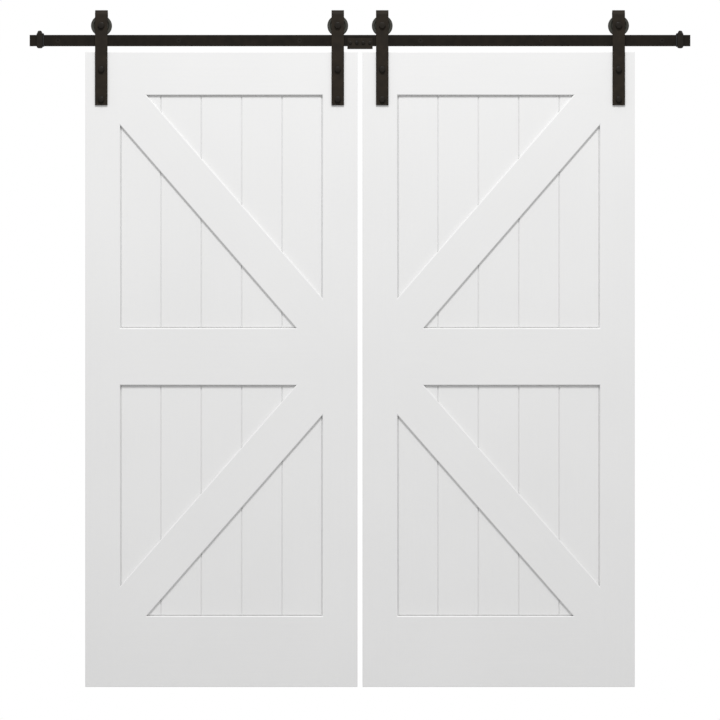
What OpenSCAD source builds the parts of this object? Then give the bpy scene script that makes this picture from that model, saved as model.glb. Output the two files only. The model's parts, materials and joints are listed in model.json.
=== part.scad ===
// Bi-parting sliding barn door: two K-braced leaves that roll on one flat track.
//
// Millimetres. X runs along the track, Y points into the wall and Z points up.
// The origin lies on the face of the wall, in the middle of the row of wall screws.
// The leaves meet at the plane X = 0, and the left half mirrors the right half.

/* [Leaf] */
// Width of one leaf
leaf_w = 914.4; // [700:0.1:1200]
// Height of one leaf
leaf_h = 2133.6; // [1750:0.1:2600]
// Thickness of a leaf
leaf_t = 35; // [29:0.5:48]
// Gap between the two closed leaves
meeting_gap = 17.5; // [6:0.5:24]
// Gap between the underside of the track and the top of a leaf
top_gap = 20; // [14:0.5:40]
// Gap between the back of a leaf and the wall
wall_gap = 10.5; // [8:0.5:25]
// Chamfer around the outside of a leaf
edge_ease = 1.5; // [0.5:0.1:3]

/* [Stiles and rails] */
// Width of a stile
stile_w = 117.5; // [100:0.5:160]
// Height of the top rail of a leaf
top_rail_h = 145; // [100:1:200]
// Height of the middle rail of a leaf
middle_rail_h = 192; // [120:1:240]
// Height of the bottom rail of a leaf
bottom_rail_h = 238; // [150:1:300]
// Height of the upper opening
upper_opening_h = 783; // [600:1:900]
// Depth of the grooves that hold the panels and the stub tenons
tongue = 12; // [8:0.5:16]
// Play at the end of a tongue
tongue_play = 0.5; // [0.3:0.1:0.9]
// Play at each side of a tongue
tongue_fit = 0.1; // [0.05:0.01:0.3]

/* [Panels and braces] */
// Boards that the grooves of a panel suggest
plank_count = 5; // [3:1:8]
// Depth from the face of a leaf to the face of its panels
recess = 9; // [6:0.5:10]
// Width of a V groove
vee_w = 5; // [3:0.5:9]
// Depth of a V groove
vee_depth = 4; // [1.5:0.5:4]
// Width of a diagonal brace
brace_w = 133; // [80:1:160]
// Bevel along the edge of each sunk field
bevel = 3; // [1:0.5:5]

/* [Track] */
// Height of the flat bar
track_h = 38; // [32:1:50]
// Thickness of the flat bar
track_t = 6; // [5:0.5:10]
// Chamfer along the edges of the flat bar
track_ease = 0.8; // [0.3:0.1:1.5]
// Length of track past the outer edge of a closed leaf
track_overhang = 187.5; // [150:0.5:1200]
// Distance between neighbouring wall screws
screw_pitch = 406.4; // [300:0.1:610]
// Diameter of a standoff
standoff_d = 24; // [20:1:34]

/* [Splice] */
// Length of the plate that joins the two halves of the track
splice_l = 85; // [75:1:95]
// Height of the splice plate
splice_h = 37; // [30:1:45]
// Thickness of the splice plate
splice_t = 5; // [3:0.5:6]
// Drop from the wheel flanges to the top of the splice plate
splice_drop = 6.8; // [2:0.1:10]
// Distance between the splice bolts
splice_pitch = 22; // [18:0.5:24]
// Height of the splice bolts above the middle of the track
splice_bolt_z = -7.5; // [-10:0.5:0]

/* [Hangers] */
// Width of a strap
strap_w = 42; // [34:1:50]
// Thickness of a strap
strap_t = 6; // [4:0.5:8]
// Distance from the outer edge of a leaf to the middle of the outer strap
outer_inset = 54; // [40:0.5:70]
// Distance from the inner edge of a leaf to the middle of the inner strap
inner_inset = 66; // [58:0.5:80]
// Distance from the top of a leaf to the upper strap bolt
upper_bolt_drop = 59; // [35:0.5:80]
// Distance between the two strap bolts
strap_bolt_pitch = 101; // [60:0.5:140]
// Length of strap below the lower strap bolt
strap_tail = 19; // [15:0.5:40]
// Gap between the rim of a wheel and the inside of the bend
crown_gap = 11.4; // [8:0.1:20]
// Gap between the side of a wheel and a leg of its strap
leg_gap = 1.5; // [0.8:0.1:4]

/* [Wheels] */
// Diameter of the tread
tread_d = 61; // [50:0.5:80]
// Height of a flange above the tread
flange_h = 4.5; // [3:0.5:8]
// Width of a wheel
wheel_w = 18; // [16:0.5:24]
// Play between the side of the track and a flange
flange_play = 0.6; // [0.3:0.1:1.5]
// Slope of each flange, measured across the wheel
flange_flare = 1.2; // [0.5:0.1:2]
// Outer diameter of the sealed bearing
bearing_d = 28; // [24:1:32]
// Width of the sealed bearing
bearing_w = 8; // [7:0.5:10]

/* [End stops] */
// Length of track past an end stop
stop_margin = 23.5; // [10:0.5:60]
// Width of the clamped block along the track
stop_w = 20.5; // [17:0.5:30]
// Thickness of the rubber pad
bumper_t = 4; // [2:0.5:8]
// Thickness of each cheek of the block
cheek_t = 6; // [4:0.5:6.5]
// Height of the bridge over the track
bridge_h = 6; // [5:0.5:12]
// Length of the cheeks below the track
cheek_drop = 6.5; // [3:0.5:10]
// Height of the domed head of the clamp screw
clamp_head_h = 9; // [6:0.5:12]

/* [Fasteners] */
// Thread diameter of an axle bolt
axle_d = 12; // [10:1:14]
// Width across the flats of an axle bolt
axle_af = 19; // [17:1:22]
// Thread diameter of a strap bolt
strap_bolt_d = 10; // [8:1:12]
// Width across the flats of a strap bolt
strap_bolt_af = 17; // [13:1:19]
// Outer diameter of the washer of a strap bolt
washer_d = 22; // [20:1:24]
// Thickness of a washer
washer_t = 2; // [1:0.5:2.5]
// Thread diameter of a splice bolt
splice_bolt_d = 6; // [5:1:8]
// Width across the flats of a splice bolt
splice_bolt_af = 10; // [8:1:13]
// Thread diameter of a wall screw
wall_screw_d = 8; // [6:1:10]
// Length of a wall screw past the face of the wall
wall_screw_bite = 60; // [35:1:90]
// Thread diameter of a clamp screw
clamp_screw_d = 8; // [6:1:10]

/* [Fits] */
// Gap under a tread, so that the wheel turns clear of the track
tread_gap = 0.3; // [0.1:0.1:0.5]
// Radial play between an axle bolt and its bearing
running_play = 0.05; // [0.02:0.01:0.1]
// Radial play between a bearing and its seat
seat_play = 0.02; // [0.01:0.01:0.05]
// Radial play between a bolt and a hole in steel
bolt_play = 0.2; // [0.1:0.05:0.5]
// Radial play between a bolt and a hole in a leaf
leaf_bolt_play = 0.25; // [0.1:0.05:0.5]
// Gap between a spacer and the bearing beside it
spacer_play = 0.1; // [0.05:0.05:0.3]
// Gap between an end stop and the track
stop_play = 0.2; // [0.1:0.1:0.5]

/* [Hidden] */
LEFT = -1;
RIGHT = 1;
FRONT = -1;
BACK = 1;
$fn = 64;

PAINT = [0.93, 0.93, 0.92];
PANEL_PAINT = [0.90, 0.90, 0.89];
BRONZE = [0.17, 0.15, 0.14];
STRAP_BRONZE = [0.21, 0.19, 0.18];
WHEEL_BRONZE = [0.30, 0.29, 0.26];
STEEL = [0.62, 0.62, 0.60];
RUBBER = [0.06, 0.06, 0.06];

// How far a cutting shape runs past the face that it cuts
over = 1;
// Height of a hexagonal head or nut as a share of its thread
HEAD_RATIO = 0.63;
// Share of a nut's thread that a full nut is high
NUT_RATIO = 0.8;
// Share of a thread that a thin nut is high
THIN_NUT_RATIO = 0.5;
// Share of the width across the flats that the turned top of a head or nut is wide
TURNED_SHARE = 0.95;
// Radial play between a nut and its thread
nut_play = 0.01;
// Length of thread that shows past a nut
thread_proud = 1;

// Depth of the parts in front of the wall
wheel_r = tread_d / 2 + flange_h;
fork_half = wheel_w / 2 + leg_gap;
track_y = -wall_gap - leaf_t + fork_half;
standoff_l = -track_y - track_t / 2;
leaf_front_y = track_y - fork_half;
leaf_mid_y = leaf_front_y + leaf_t / 2;
leaf_back_y = leaf_front_y + leaf_t;
strap_front_y = leaf_front_y - strap_t;

// Heights
leaf_top_z = -track_h / 2 - top_gap;
leaf_bottom_z = leaf_top_z - leaf_h;
axle_z = track_h / 2 + tread_gap + tread_d / 2;
strap_top_z = axle_z + wheel_r + crown_gap + strap_t;
strap_bottom_z = leaf_top_z - upper_bolt_drop - strap_bolt_pitch - strap_tail;
upper_opening_top = leaf_top_z - top_rail_h;
upper_opening_bottom = upper_opening_top - upper_opening_h;
lower_opening_top = upper_opening_bottom - middle_rail_h;
lower_opening_bottom = leaf_bottom_z + bottom_rail_h;
strap_bolt_zs = [for (i = [0, 1]) leaf_top_z - upper_bolt_drop - i * strap_bolt_pitch];

// Widths, on the right leaf
inner_x = meeting_gap / 2;
outer_x = inner_x + leaf_w;
field_in = inner_x + stile_w;
field_out = outer_x - stile_w;
field_w = field_out - field_in;
inner_hanger_x = inner_x + inner_inset;
outer_hanger_x = outer_x - outer_inset;
hanger_xs = [inner_hanger_x, outer_hanger_x];

// Leaf joinery
panel_t = leaf_t - 2 * recess;
tongue_l = tongue - tongue_play;
groove_t = panel_t + 2 * tongue_fit;
counterbore_d = washer_d + 4;
strap_nut_h = strap_bolt_d * NUT_RATIO;
nut_cover = 1;
counterbore_depth = washer_t + strap_nut_h + nut_cover;

// Track, splice and end stops, on the right half
track_l = outer_x + track_overhang;
stop_outer_x = track_l - stop_margin;
stop_inner_x = stop_outer_x - stop_w;
bumper_x = stop_inner_x - bumper_t;
track_front_y = track_y - track_t / 2;
track_back_y = track_y + track_t / 2;
splice_top_z = axle_z - wheel_r - splice_drop;
splice_front_y = track_front_y - splice_t;
splice_xs = [for (i = [-1.5 : 1 : 1.5]) i * splice_pitch];
block_w_y = track_t + 2 * (stop_play + cheek_t);
block_top_z = track_h / 2 + bridge_h;
block_bottom_z = -track_h / 2 - cheek_drop;
block_corner_r = 5;
block_shoulder = 4;
bumper_edge = 1;
clamp_head_d = 16;

// Wall screws stand at an even pitch from the middle, as far out as the end stop lets them
screw_reach = bumper_x - standoff_d / 2;
screw_count = floor((screw_reach - screw_pitch / 2) / screw_pitch) + 1;
screw_xs = [for (side = [LEFT, RIGHT], i = [0 : screw_count - 1]) side * (i + 0.5) * screw_pitch];
wall_head_d = 17;
wall_shank_relief = 0.2;
wall_shank_r = wall_screw_d / 2 - wall_shank_relief;
wall_tip_l = 10;
wall_tip_r = 0.5;
head_seat_play = 0.1;

// ---------------------------------------------------------------- general shapes

// Everything is drawn for the right half, and mirrored for the left
module on_side(side) {
    if (side == LEFT) mirror([1, 0, 0]) children();
    else children();
}

// Turns a shape that was drawn along Z so that it runs along Y, into the wall
module along_y() {
    rotate([-90, 0, 0]) children();
}

// Lifts an outline in X and Z into a slab that starts at y and is thick along Y
module slab_xz(y, thick) {
    translate([0, y + thick, 0]) rotate([90, 0, 0]) linear_extrude(thick) children();
}

module chamfered_rect(w, h, c) {
    polygon([
        [-w / 2 + c, -h / 2], [w / 2 - c, -h / 2], [w / 2, -h / 2 + c], [w / 2, h / 2 - c],
        [w / 2 - c, h / 2], [-w / 2 + c, h / 2], [-w / 2, h / 2 - c], [-w / 2, -h / 2 + c]
    ]);
}

// A ring along Y that starts at y
module ring_y(x, y, z, outer_r, inner_r, l) {
    translate([x, y, z]) along_y() difference() {
        cylinder(r = outer_r, h = l);
        translate([0, 0, -over]) cylinder(r = inner_r, h = l + 2 * over);
    }
}

// A hole along Y that starts at y
module hole_y(x, y, z, r, l) {
    translate([x, y, z]) along_y() cylinder(r = r, h = l);
}

// A hexagonal prism along Z with its far corners turned off
module hex_blank(af, h) {
    corner_r = af / 2 / cos(30);
    turned = corner_r - af / 2 * TURNED_SHARE;
    intersection() {
        cylinder(r = corner_r, h = h, $fn = 6);
        rotate_extrude() polygon([
            [0, 0], [corner_r, 0], [corner_r, h - turned * tan(30)], [corner_r - turned, h], [0, h]
        ]);
    }
}

// A hexagon bolt along Y, with the underside of its head at y and its head towards the front
module hex_bolt(x, y, z, d, af, l) {
    translate([x, y, z]) along_y() {
        mirror([0, 0, 1]) hex_blank(af, d * HEAD_RATIO);
        cylinder(d = d, h = l);
    }
}

// A hexagon nut along Y, with its seat at y
module hex_nut(x, y, z, d, af, h) {
    translate([x, y, z]) along_y() difference() {
        hex_blank(af, h);
        translate([0, 0, -over]) cylinder(r = d / 2 + nut_play, h = h + 2 * over);
    }
}

// ---------------------------------------------------------------- leaf

// Corners of the two sunk fields of an opening. The brace between them runs from corner to
// corner: it rises towards the outer stile in the upper opening, and falls in the lower one.
function brace_angle(bottom, top) = atan2(top - bottom, field_w);
function along_rail(bottom, top) = brace_w / 2 / sin(brace_angle(bottom, top));
function along_stile(bottom, top) = brace_w / 2 / cos(brace_angle(bottom, top));

// The field beside the inner stile, at height a, away from the rail at height b
function inner_field(a, b) = let (s = a > b ? 1 : -1, lo = min(a, b), hi = max(a, b)) [
    [field_in, a],
    [field_out - along_rail(lo, hi), a],
    [field_in, b + s * along_stile(lo, hi)]
];

// The field beside the outer stile, at height a, away from the rail at height b
function outer_field(a, b) = let (s = a > b ? 1 : -1, lo = min(a, b), hi = max(a, b)) [
    [field_out, a],
    [field_in + along_rail(lo, hi), a],
    [field_out, b + s * along_stile(lo, hi)]
];

upper_inner_field = inner_field(upper_opening_top, upper_opening_bottom);
upper_outer_field = outer_field(upper_opening_bottom, upper_opening_top);
lower_inner_field = inner_field(lower_opening_bottom, lower_opening_top);
lower_outer_field = outer_field(lower_opening_top, lower_opening_bottom);

// Cuts the bevel round a sunk field out of one face of the leaf
module field_bevel(field, face) {
    thin = 0.01;
    inside_y = leaf_mid_y + face * (leaf_t / 2 - bevel) - thin / 2;
    outside_y = leaf_mid_y + face * (leaf_t / 2 + over) - thin / 2;
    hull() {
        slab_xz(inside_y, thin) polygon(field);
        slab_xz(outside_y, thin) offset(delta = bevel + over) polygon(field);
    }
}

module field_bevels(fields) {
    for (field = fields, face = [FRONT, BACK]) field_bevel(field, face);
}

// The outside of the whole right leaf, with its chamfer
module leaf_envelope() {
    intersection() {
        translate([inner_x + leaf_w / 2, leaf_mid_y, leaf_bottom_z])
            linear_extrude(leaf_h) chamfered_rect(leaf_w, leaf_t, edge_ease);
        translate([inner_x, leaf_mid_y, leaf_bottom_z + leaf_h / 2]) rotate([90, 0, 90])
            linear_extrude(leaf_w) chamfered_rect(leaf_t, leaf_h, edge_ease);
    }
}

// A groove for tongues, from one corner to the other in X and Z
module tongue_groove(x0, x1, z0, z1) {
    translate([x0, leaf_mid_y - groove_t / 2, z0]) cube([x1 - x0, groove_t, z1 - z0]);
}

module stile_blank(x) {
    intersection() {
        leaf_envelope();
        translate([x, leaf_front_y, leaf_bottom_z]) cube([stile_w, leaf_t, leaf_h]);
    }
}

// The holes of one hanger, with a counterbore at the back for the washer and the nut
module strap_bolt_holes(x) {
    for (z = strap_bolt_zs) {
        hole_y(x, leaf_front_y - over, z, strap_bolt_d / 2 + leaf_bolt_play, leaf_t + 2 * over);
        hole_y(x, leaf_back_y - counterbore_depth, z, counterbore_d / 2, counterbore_depth + over);
    }
}

module outer_stile(side) {
    color(PAINT) on_side(side) difference() {
        stile_blank(field_out);
        tongue_groove(field_out - over, field_out + tongue,
                      leaf_bottom_z - over, leaf_top_z + over);
        field_bevels([upper_outer_field, lower_outer_field]);
        strap_bolt_holes(outer_hanger_x);
    }
}

module inner_stile(side) {
    color(PAINT) on_side(side) difference() {
        stile_blank(inner_x);
        tongue_groove(field_in - tongue, field_in + over,
                      leaf_bottom_z - over, leaf_top_z + over);
        field_bevels([upper_inner_field, lower_inner_field]);
        strap_bolt_holes(inner_hanger_x);
    }
}

// A rail between the stiles with a stub tenon at each end
module rail_blank(bottom, top) {
    intersection() {
        leaf_envelope();
        union() {
            translate([field_in, leaf_front_y, bottom]) cube([field_w, leaf_t, top - bottom]);
            translate([field_in - tongue_l, leaf_mid_y - panel_t / 2, bottom])
                cube([field_w + 2 * tongue_l, panel_t, top - bottom]);
        }
    }
}

// The groove for a panel along the edge of a rail, between two heights
module rail_groove(z0, z1) {
    tongue_groove(field_in - tongue - over, field_out + tongue + over, z0, z1);
}

module top_rail(side) {
    color(PAINT) on_side(side) difference() {
        rail_blank(upper_opening_top, leaf_top_z);
        rail_groove(upper_opening_top - over, upper_opening_top + tongue);
        field_bevels([upper_inner_field]);
    }
}

module middle_rail(side) {
    color(PAINT) on_side(side) difference() {
        rail_blank(lower_opening_top, upper_opening_bottom);
        rail_groove(upper_opening_bottom - tongue, upper_opening_bottom + over);
        rail_groove(lower_opening_top - over, lower_opening_top + tongue);
        field_bevels([upper_outer_field, lower_outer_field]);
    }
}

module bottom_rail(side) {
    color(PAINT) on_side(side) difference() {
        rail_blank(leaf_bottom_z, lower_opening_bottom);
        rail_groove(lower_opening_bottom - tongue, lower_opening_bottom + over);
        field_bevels([lower_inner_field]);
    }
}

// A panel between two heights, grooved on both faces like a row of boards
module panel(side, bottom, top) {
    color(PANEL_PAINT) on_side(side) difference() {
        translate([field_in - tongue_l, leaf_mid_y - panel_t / 2, bottom - tongue_l])
            cube([field_w + 2 * tongue_l, panel_t, top - bottom + 2 * tongue_l]);
        for (i = [1 : plank_count - 1], face = [FRONT, BACK])
            translate([field_in + i * field_w / plank_count, leaf_mid_y + face * panel_t / 2,
                       bottom - tongue - over])
                linear_extrude(top - bottom + 2 * (tongue + over))
                    polygon([[-vee_w / 2, 0], [vee_w / 2, 0], [0, -face * vee_depth]]);
    }
}

// A diagonal brace on one face of a panel, between its two sunk fields
module brace(side, face, bottom, top, inner, outer) {
    y = leaf_mid_y + (face == FRONT ? -leaf_t / 2 : panel_t / 2);
    color(PAINT) on_side(side) difference() {
        slab_xz(y, recess) difference() {
            translate([field_in, bottom]) square([field_w, top - bottom]);
            polygon(inner);
            polygon(outer);
        }
        field_bevel(inner, face);
        field_bevel(outer, face);
    }
}

module upper_brace(side, face) {
    brace(side, face, upper_opening_bottom, upper_opening_top,
          upper_inner_field, upper_outer_field);
}

module lower_brace(side, face) {
    brace(side, face, lower_opening_bottom, lower_opening_top,
          lower_inner_field, lower_outer_field);
}

// ---------------------------------------------------------------- hangers

// A flat strap, bent over its wheel, with a short back leg that ends behind the track
module strap(side, x) {
    bend_z = strap_top_z - strap_t - fork_half;
    outer_bend_r = fork_half + strap_t;
    back_leg_z = axle_z - strap_w / 2;
    color(STRAP_BRONZE) on_side(side) difference() {
        translate([x - strap_w / 2, 0, 0]) rotate([90, 0, 90]) linear_extrude(strap_w) union() {
            translate([strap_front_y, strap_bottom_z]) square([strap_t, bend_z - strap_bottom_z]);
            translate([track_y + fork_half, back_leg_z]) square([strap_t, bend_z - back_leg_z]);
            translate([track_y, bend_z]) intersection() {
                difference() {
                    circle(r = outer_bend_r);
                    circle(r = fork_half);
                }
                translate([-outer_bend_r, 0]) square([2 * outer_bend_r, outer_bend_r]);
            }
        }
        hole_y(x, strap_front_y - over, axle_z, axle_d / 2 + bolt_play,
               2 * (fork_half + strap_t + over));
        for (z = strap_bolt_zs)
            hole_y(x, strap_front_y - over, z, strap_bolt_d / 2 + bolt_play, strap_t + 2 * over);
    }
}

module axle_bolts(side) {
    back_y = track_y + fork_half + strap_t;
    nut_h = axle_d * THIN_NUT_RATIO;
    color(BRONZE) on_side(side) for (x = hanger_xs)
        hex_bolt(x, strap_front_y, axle_z, axle_d, axle_af, back_y + nut_h + thread_proud - strap_front_y);
}

module axle_nuts(side) {
    color(BRONZE) on_side(side) for (x = hanger_xs)
        hex_nut(x, track_y + fork_half + strap_t, axle_z,
                axle_d, axle_af, axle_d * THIN_NUT_RATIO);
}

// Two spacers on each axle hold the bearing in the middle of the fork
module axle_spacers(side) {
    l = fork_half - bearing_w / 2 - spacer_play;
    wall = 2.5;
    r = axle_d / 2 + wall;
    color(STEEL) on_side(side) for (x = hanger_xs, y = [track_y - fork_half, track_y + fork_half - l])
        ring_y(x, y, axle_z, r, axle_d / 2 + bolt_play / 2, l);
}

module strap_bolts(side) {
    seat_y = leaf_back_y - counterbore_depth;
    head_y = strap_front_y - washer_t;
    color(BRONZE) on_side(side) for (x = hanger_xs, z = strap_bolt_zs)
        hex_bolt(x, head_y, z, strap_bolt_d, strap_bolt_af,
                 seat_y + washer_t + strap_nut_h + nut_cover / 2 - head_y);
}

module strap_washers(side) {
    color(BRONZE) on_side(side)
        for (x = hanger_xs, z = strap_bolt_zs,
             y = [strap_front_y - washer_t, leaf_back_y - counterbore_depth])
            ring_y(x, y, z, washer_d / 2, strap_bolt_d / 2 + bolt_play, washer_t);
}

module strap_nuts(side) {
    color(STEEL) on_side(side) for (x = hanger_xs, z = strap_bolt_zs)
        hex_nut(x, leaf_back_y - counterbore_depth + washer_t, z,
                strap_bolt_d, strap_bolt_af, strap_nut_h);
}

// ---------------------------------------------------------------- wheels

// A grooved wheel with a dished web. Its bearing goes in from the back, against a shoulder.
module wheel(side, x) {
    half = wheel_w / 2;
    tread_r = tread_d / 2;
    tread_half = track_t / 2 + flange_play;
    lip_half = tread_half + flange_flare;
    rim_edge = 1;
    shoulder = 2.5;
    wall = 4;
    seat_r = bearing_d / 2 + seat_play;
    shoulder_r = bearing_d / 2 - shoulder;
    hub_r = bearing_d / 2 + wall;
    web_r = tread_r - wall;
    // The web is dished on both sides, less deeply where hub and rim are close
    full_dish = 3;
    dish = min(full_dish, 0.4 * (web_r - hub_r));
    color(WHEEL_BRONZE) on_side(side) translate([x, track_y, axle_z]) along_y()
        rotate_extrude() polygon([
            [shoulder_r, -half], [hub_r, -half], [hub_r + dish, -half + dish],
            [web_r - dish, -half + dish], [web_r, -half], [wheel_r - rim_edge, -half],
            [wheel_r, -half + rim_edge], [wheel_r, -lip_half], [tread_r, -tread_half],
            [tread_r, tread_half], [wheel_r, lip_half], [wheel_r, half - rim_edge],
            [wheel_r - rim_edge, half], [web_r, half], [web_r - dish, half - dish],
            [hub_r + dish, half - dish], [hub_r, half], [seat_r, half],
            [seat_r, -bearing_w / 2], [shoulder_r, -bearing_w / 2]
        ]);
}

// A sealed ball bearing, as one solid: its shields lie a little below its rings
module bearing(side, x) {
    half = bearing_w / 2;
    bore_r = axle_d / 2 + running_play;
    outer_r = bearing_d / 2;
    ring_share = 0.27;
    ring = (outer_r - bore_r) * ring_share;
    sunk = 0.5;
    color(STEEL) on_side(side) translate([x, track_y, axle_z]) along_y()
        rotate_extrude() polygon([
            [bore_r, -half], [bore_r + ring, -half], [bore_r + ring, -half + sunk],
            [outer_r - ring, -half + sunk], [outer_r - ring, -half], [outer_r, -half],
            [outer_r, half], [outer_r - ring, half], [outer_r - ring, half - sunk],
            [bore_r + ring, half - sunk], [bore_r + ring, half], [bore_r, half]
        ]);
}

// ---------------------------------------------------------------- track

// One half of the flat bar, drilled for the wall screws and the splice bolts
module track_half(side) {
    color(BRONZE) difference() {
        on_side(side) translate([0, track_y, 0]) rotate([90, 0, 90])
            linear_extrude(track_l) chamfered_rect(track_t, track_h, track_ease);
        for (x = screw_xs) if (x * side > 0) wall_screw_hole(x);
        for (x = splice_xs) if (x * side > 0)
            hole_y(x, track_front_y - over, splice_bolt_z,
                   splice_bolt_d / 2 + bolt_play, track_t + 2 * over);
    }
}

// A countersunk hole through the bar
module wall_screw_hole(x) {
    shank_r = wall_screw_d / 2 + bolt_play;
    head_r = wall_head_d / 2 + head_seat_play;
    translate([x, track_front_y, 0]) along_y() rotate_extrude() polygon([
        [0, -over], [head_r, -over], [head_r, 0], [shank_r, head_r - shank_r],
        [shank_r, track_t + over], [0, track_t + over]
    ]);
}

// A countersunk wall screw, flush with the front of the bar, with a hexagon socket
module wall_screws() {
    head_r = wall_head_d / 2;
    socket_af = 5;
    socket_depth = 3;
    length = wall_screw_bite - track_front_y;
    color(BRONZE) for (x = screw_xs) translate([x, track_front_y, 0]) along_y() difference() {
        rotate_extrude() polygon([
            [0, 0], [head_r, 0], [wall_shank_r, head_r - wall_shank_r],
            [wall_shank_r, -track_front_y], [wall_screw_d / 2, -track_front_y],
            [wall_screw_d / 2, length - wall_tip_l], [wall_tip_r, length], [0, length]
        ]);
        translate([0, 0, -over])
            cylinder(r = socket_af / 2 / cos(30), h = socket_depth + over, $fn = 6);
    }
}

// Turned standoffs between the bar and the wall
module wall_standoffs() {
    ease = 0.8;
    r = standoff_d / 2;
    bore = wall_screw_d / 2 + bolt_play;
    color(BRONZE) for (x = screw_xs) translate([x, track_back_y, 0]) along_y()
        rotate_extrude() polygon([
            [bore, 0], [r - ease, 0], [r, ease], [r, standoff_l - ease],
            [r - ease, standoff_l], [bore, standoff_l]
        ]);
}

module splice_plate() {
    color(BRONZE) difference() {
        translate([-splice_l / 2, splice_front_y, splice_top_z - splice_h])
            cube([splice_l, splice_t, splice_h]);
        for (x = splice_xs)
            hole_y(x, splice_front_y - over, splice_bolt_z,
                   splice_bolt_d / 2 + bolt_play, splice_t + 2 * over);
    }
}

module splice_bolts() {
    nut_h = splice_bolt_d * NUT_RATIO;
    color(BRONZE) for (x = splice_xs)
        hex_bolt(x, splice_front_y, splice_bolt_z, splice_bolt_d, splice_bolt_af,
                 splice_t + track_t + nut_h + thread_proud);
}

module splice_nuts() {
    color(BRONZE) for (x = splice_xs)
        hex_nut(x, track_back_y, splice_bolt_z,
                splice_bolt_d, splice_bolt_af, splice_bolt_d * NUT_RATIO);
}

// ---------------------------------------------------------------- end stops

// The space that the bar takes in an end stop
module track_slot(bottom) {
    w = track_t + 2 * stop_play;
    translate([bumper_x - over, track_y - w / 2, bottom - over])
        cube([stop_outer_x - bumper_x + 2 * over, w, track_h / 2 + stop_play + over - bottom]);
}

// A block that straddles the bar, with rounded feet and a sloped outer shoulder
module end_stop(side) {
    x0 = stop_inner_x;
    x1 = stop_outer_x;
    r = block_corner_r;
    color(BRONZE) on_side(side) difference() {
        slab_xz(track_y - block_w_y / 2, block_w_y) union() {
            translate([x0, block_bottom_z + r])
                square([stop_w, track_h / 2 - block_bottom_z - r]);
            translate([x0 + r, block_bottom_z]) square([stop_w - 2 * r, r]);
            for (x = [x0 + r, x1 - r]) translate([x, block_bottom_z + r]) circle(r = r);
            polygon([
                [x0, track_h / 2], [x1, track_h / 2], [x1, block_top_z - block_shoulder],
                [x1 - block_shoulder / 2, block_top_z], [x0, block_top_z]
            ]);
        }
        track_slot(block_bottom_z);
        translate([x0 + stop_w / 2, track_y, 0])
            cylinder(d = clamp_screw_d + 2 * bolt_play, h = block_top_z + over);
    }
}

// A rubber pad on the inner side of an end stop
module stop_bumper(side) {
    top_z = block_top_z - bumper_edge;
    bottom_z = block_bottom_z + block_corner_r;
    color(RUBBER) on_side(side) difference() {
        slab_xz(track_y - block_w_y / 2, block_w_y) polygon([
            [bumper_x, bottom_z + bumper_edge], [bumper_x + bumper_edge, bottom_z],
            [stop_inner_x, bottom_z], [stop_inner_x, top_z],
            [bumper_x + bumper_edge, top_z], [bumper_x, top_z - bumper_edge]
        ]);
        track_slot(bottom_z);
    }
}

// A clamp screw with a domed head presses each block onto the top of the bar
module stop_clamp_screws() {
    r = clamp_head_d / 2;
    skirt_share = 0.3;
    skirt = clamp_head_h * skirt_share;
    dome = clamp_head_h - skirt;
    dome_r = (r * r + dome * dome) / (2 * dome);
    color(BRONZE) for (side = [LEFT, RIGHT]) on_side(side)
        translate([stop_inner_x + stop_w / 2, track_y, 0]) {
            translate([0, 0, track_h / 2])
                cylinder(d = clamp_screw_d, h = block_top_z - track_h / 2 + skirt);
            translate([0, 0, block_top_z]) cylinder(r = r, h = skirt);
            translate([0, 0, block_top_z + skirt]) intersection() {
                translate([0, 0, dome - dome_r]) sphere(r = dome_r);
                cylinder(r = dome_r, h = dome_r);
            }
        }
}

// ---------------------------------------------------------------- the whole door

track_half(LEFT);  // track_left_half
track_half(RIGHT);  // track_right_half
splice_plate();
splice_bolts();
splice_nuts();
wall_standoffs();
wall_screws();
end_stop(LEFT);  // left_end_stop
end_stop(RIGHT);  // right_end_stop
stop_bumper(LEFT);  // left_stop_bumper
stop_bumper(RIGHT);  // right_stop_bumper
stop_clamp_screws();

outer_stile(LEFT);  // left_outer_stile
inner_stile(LEFT);  // left_inner_stile
top_rail(LEFT);  // left_top_rail
middle_rail(LEFT);  // left_middle_rail
bottom_rail(LEFT);  // left_bottom_rail
panel(LEFT, upper_opening_bottom, upper_opening_top);  // left_upper_panel
panel(LEFT, lower_opening_bottom, lower_opening_top);  // left_lower_panel
upper_brace(LEFT, FRONT);  // left_upper_front_brace
upper_brace(LEFT, BACK);  // left_upper_back_brace
lower_brace(LEFT, FRONT);  // left_lower_front_brace
lower_brace(LEFT, BACK);  // left_lower_back_brace
strap(LEFT, outer_hanger_x);  // left_outer_strap
strap(LEFT, inner_hanger_x);  // left_inner_strap
axle_bolts(LEFT);  // left_axle_bolts
axle_nuts(LEFT);  // left_axle_nuts
axle_spacers(LEFT);  // left_axle_spacers
strap_bolts(LEFT);  // left_strap_bolts
strap_washers(LEFT);  // left_strap_washers
strap_nuts(LEFT);  // left_strap_nuts
wheel(LEFT, outer_hanger_x);  // left_outer_wheel
wheel(LEFT, inner_hanger_x);  // left_inner_wheel
bearing(LEFT, outer_hanger_x);  // left_outer_bearing
bearing(LEFT, inner_hanger_x);  // left_inner_bearing

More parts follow.
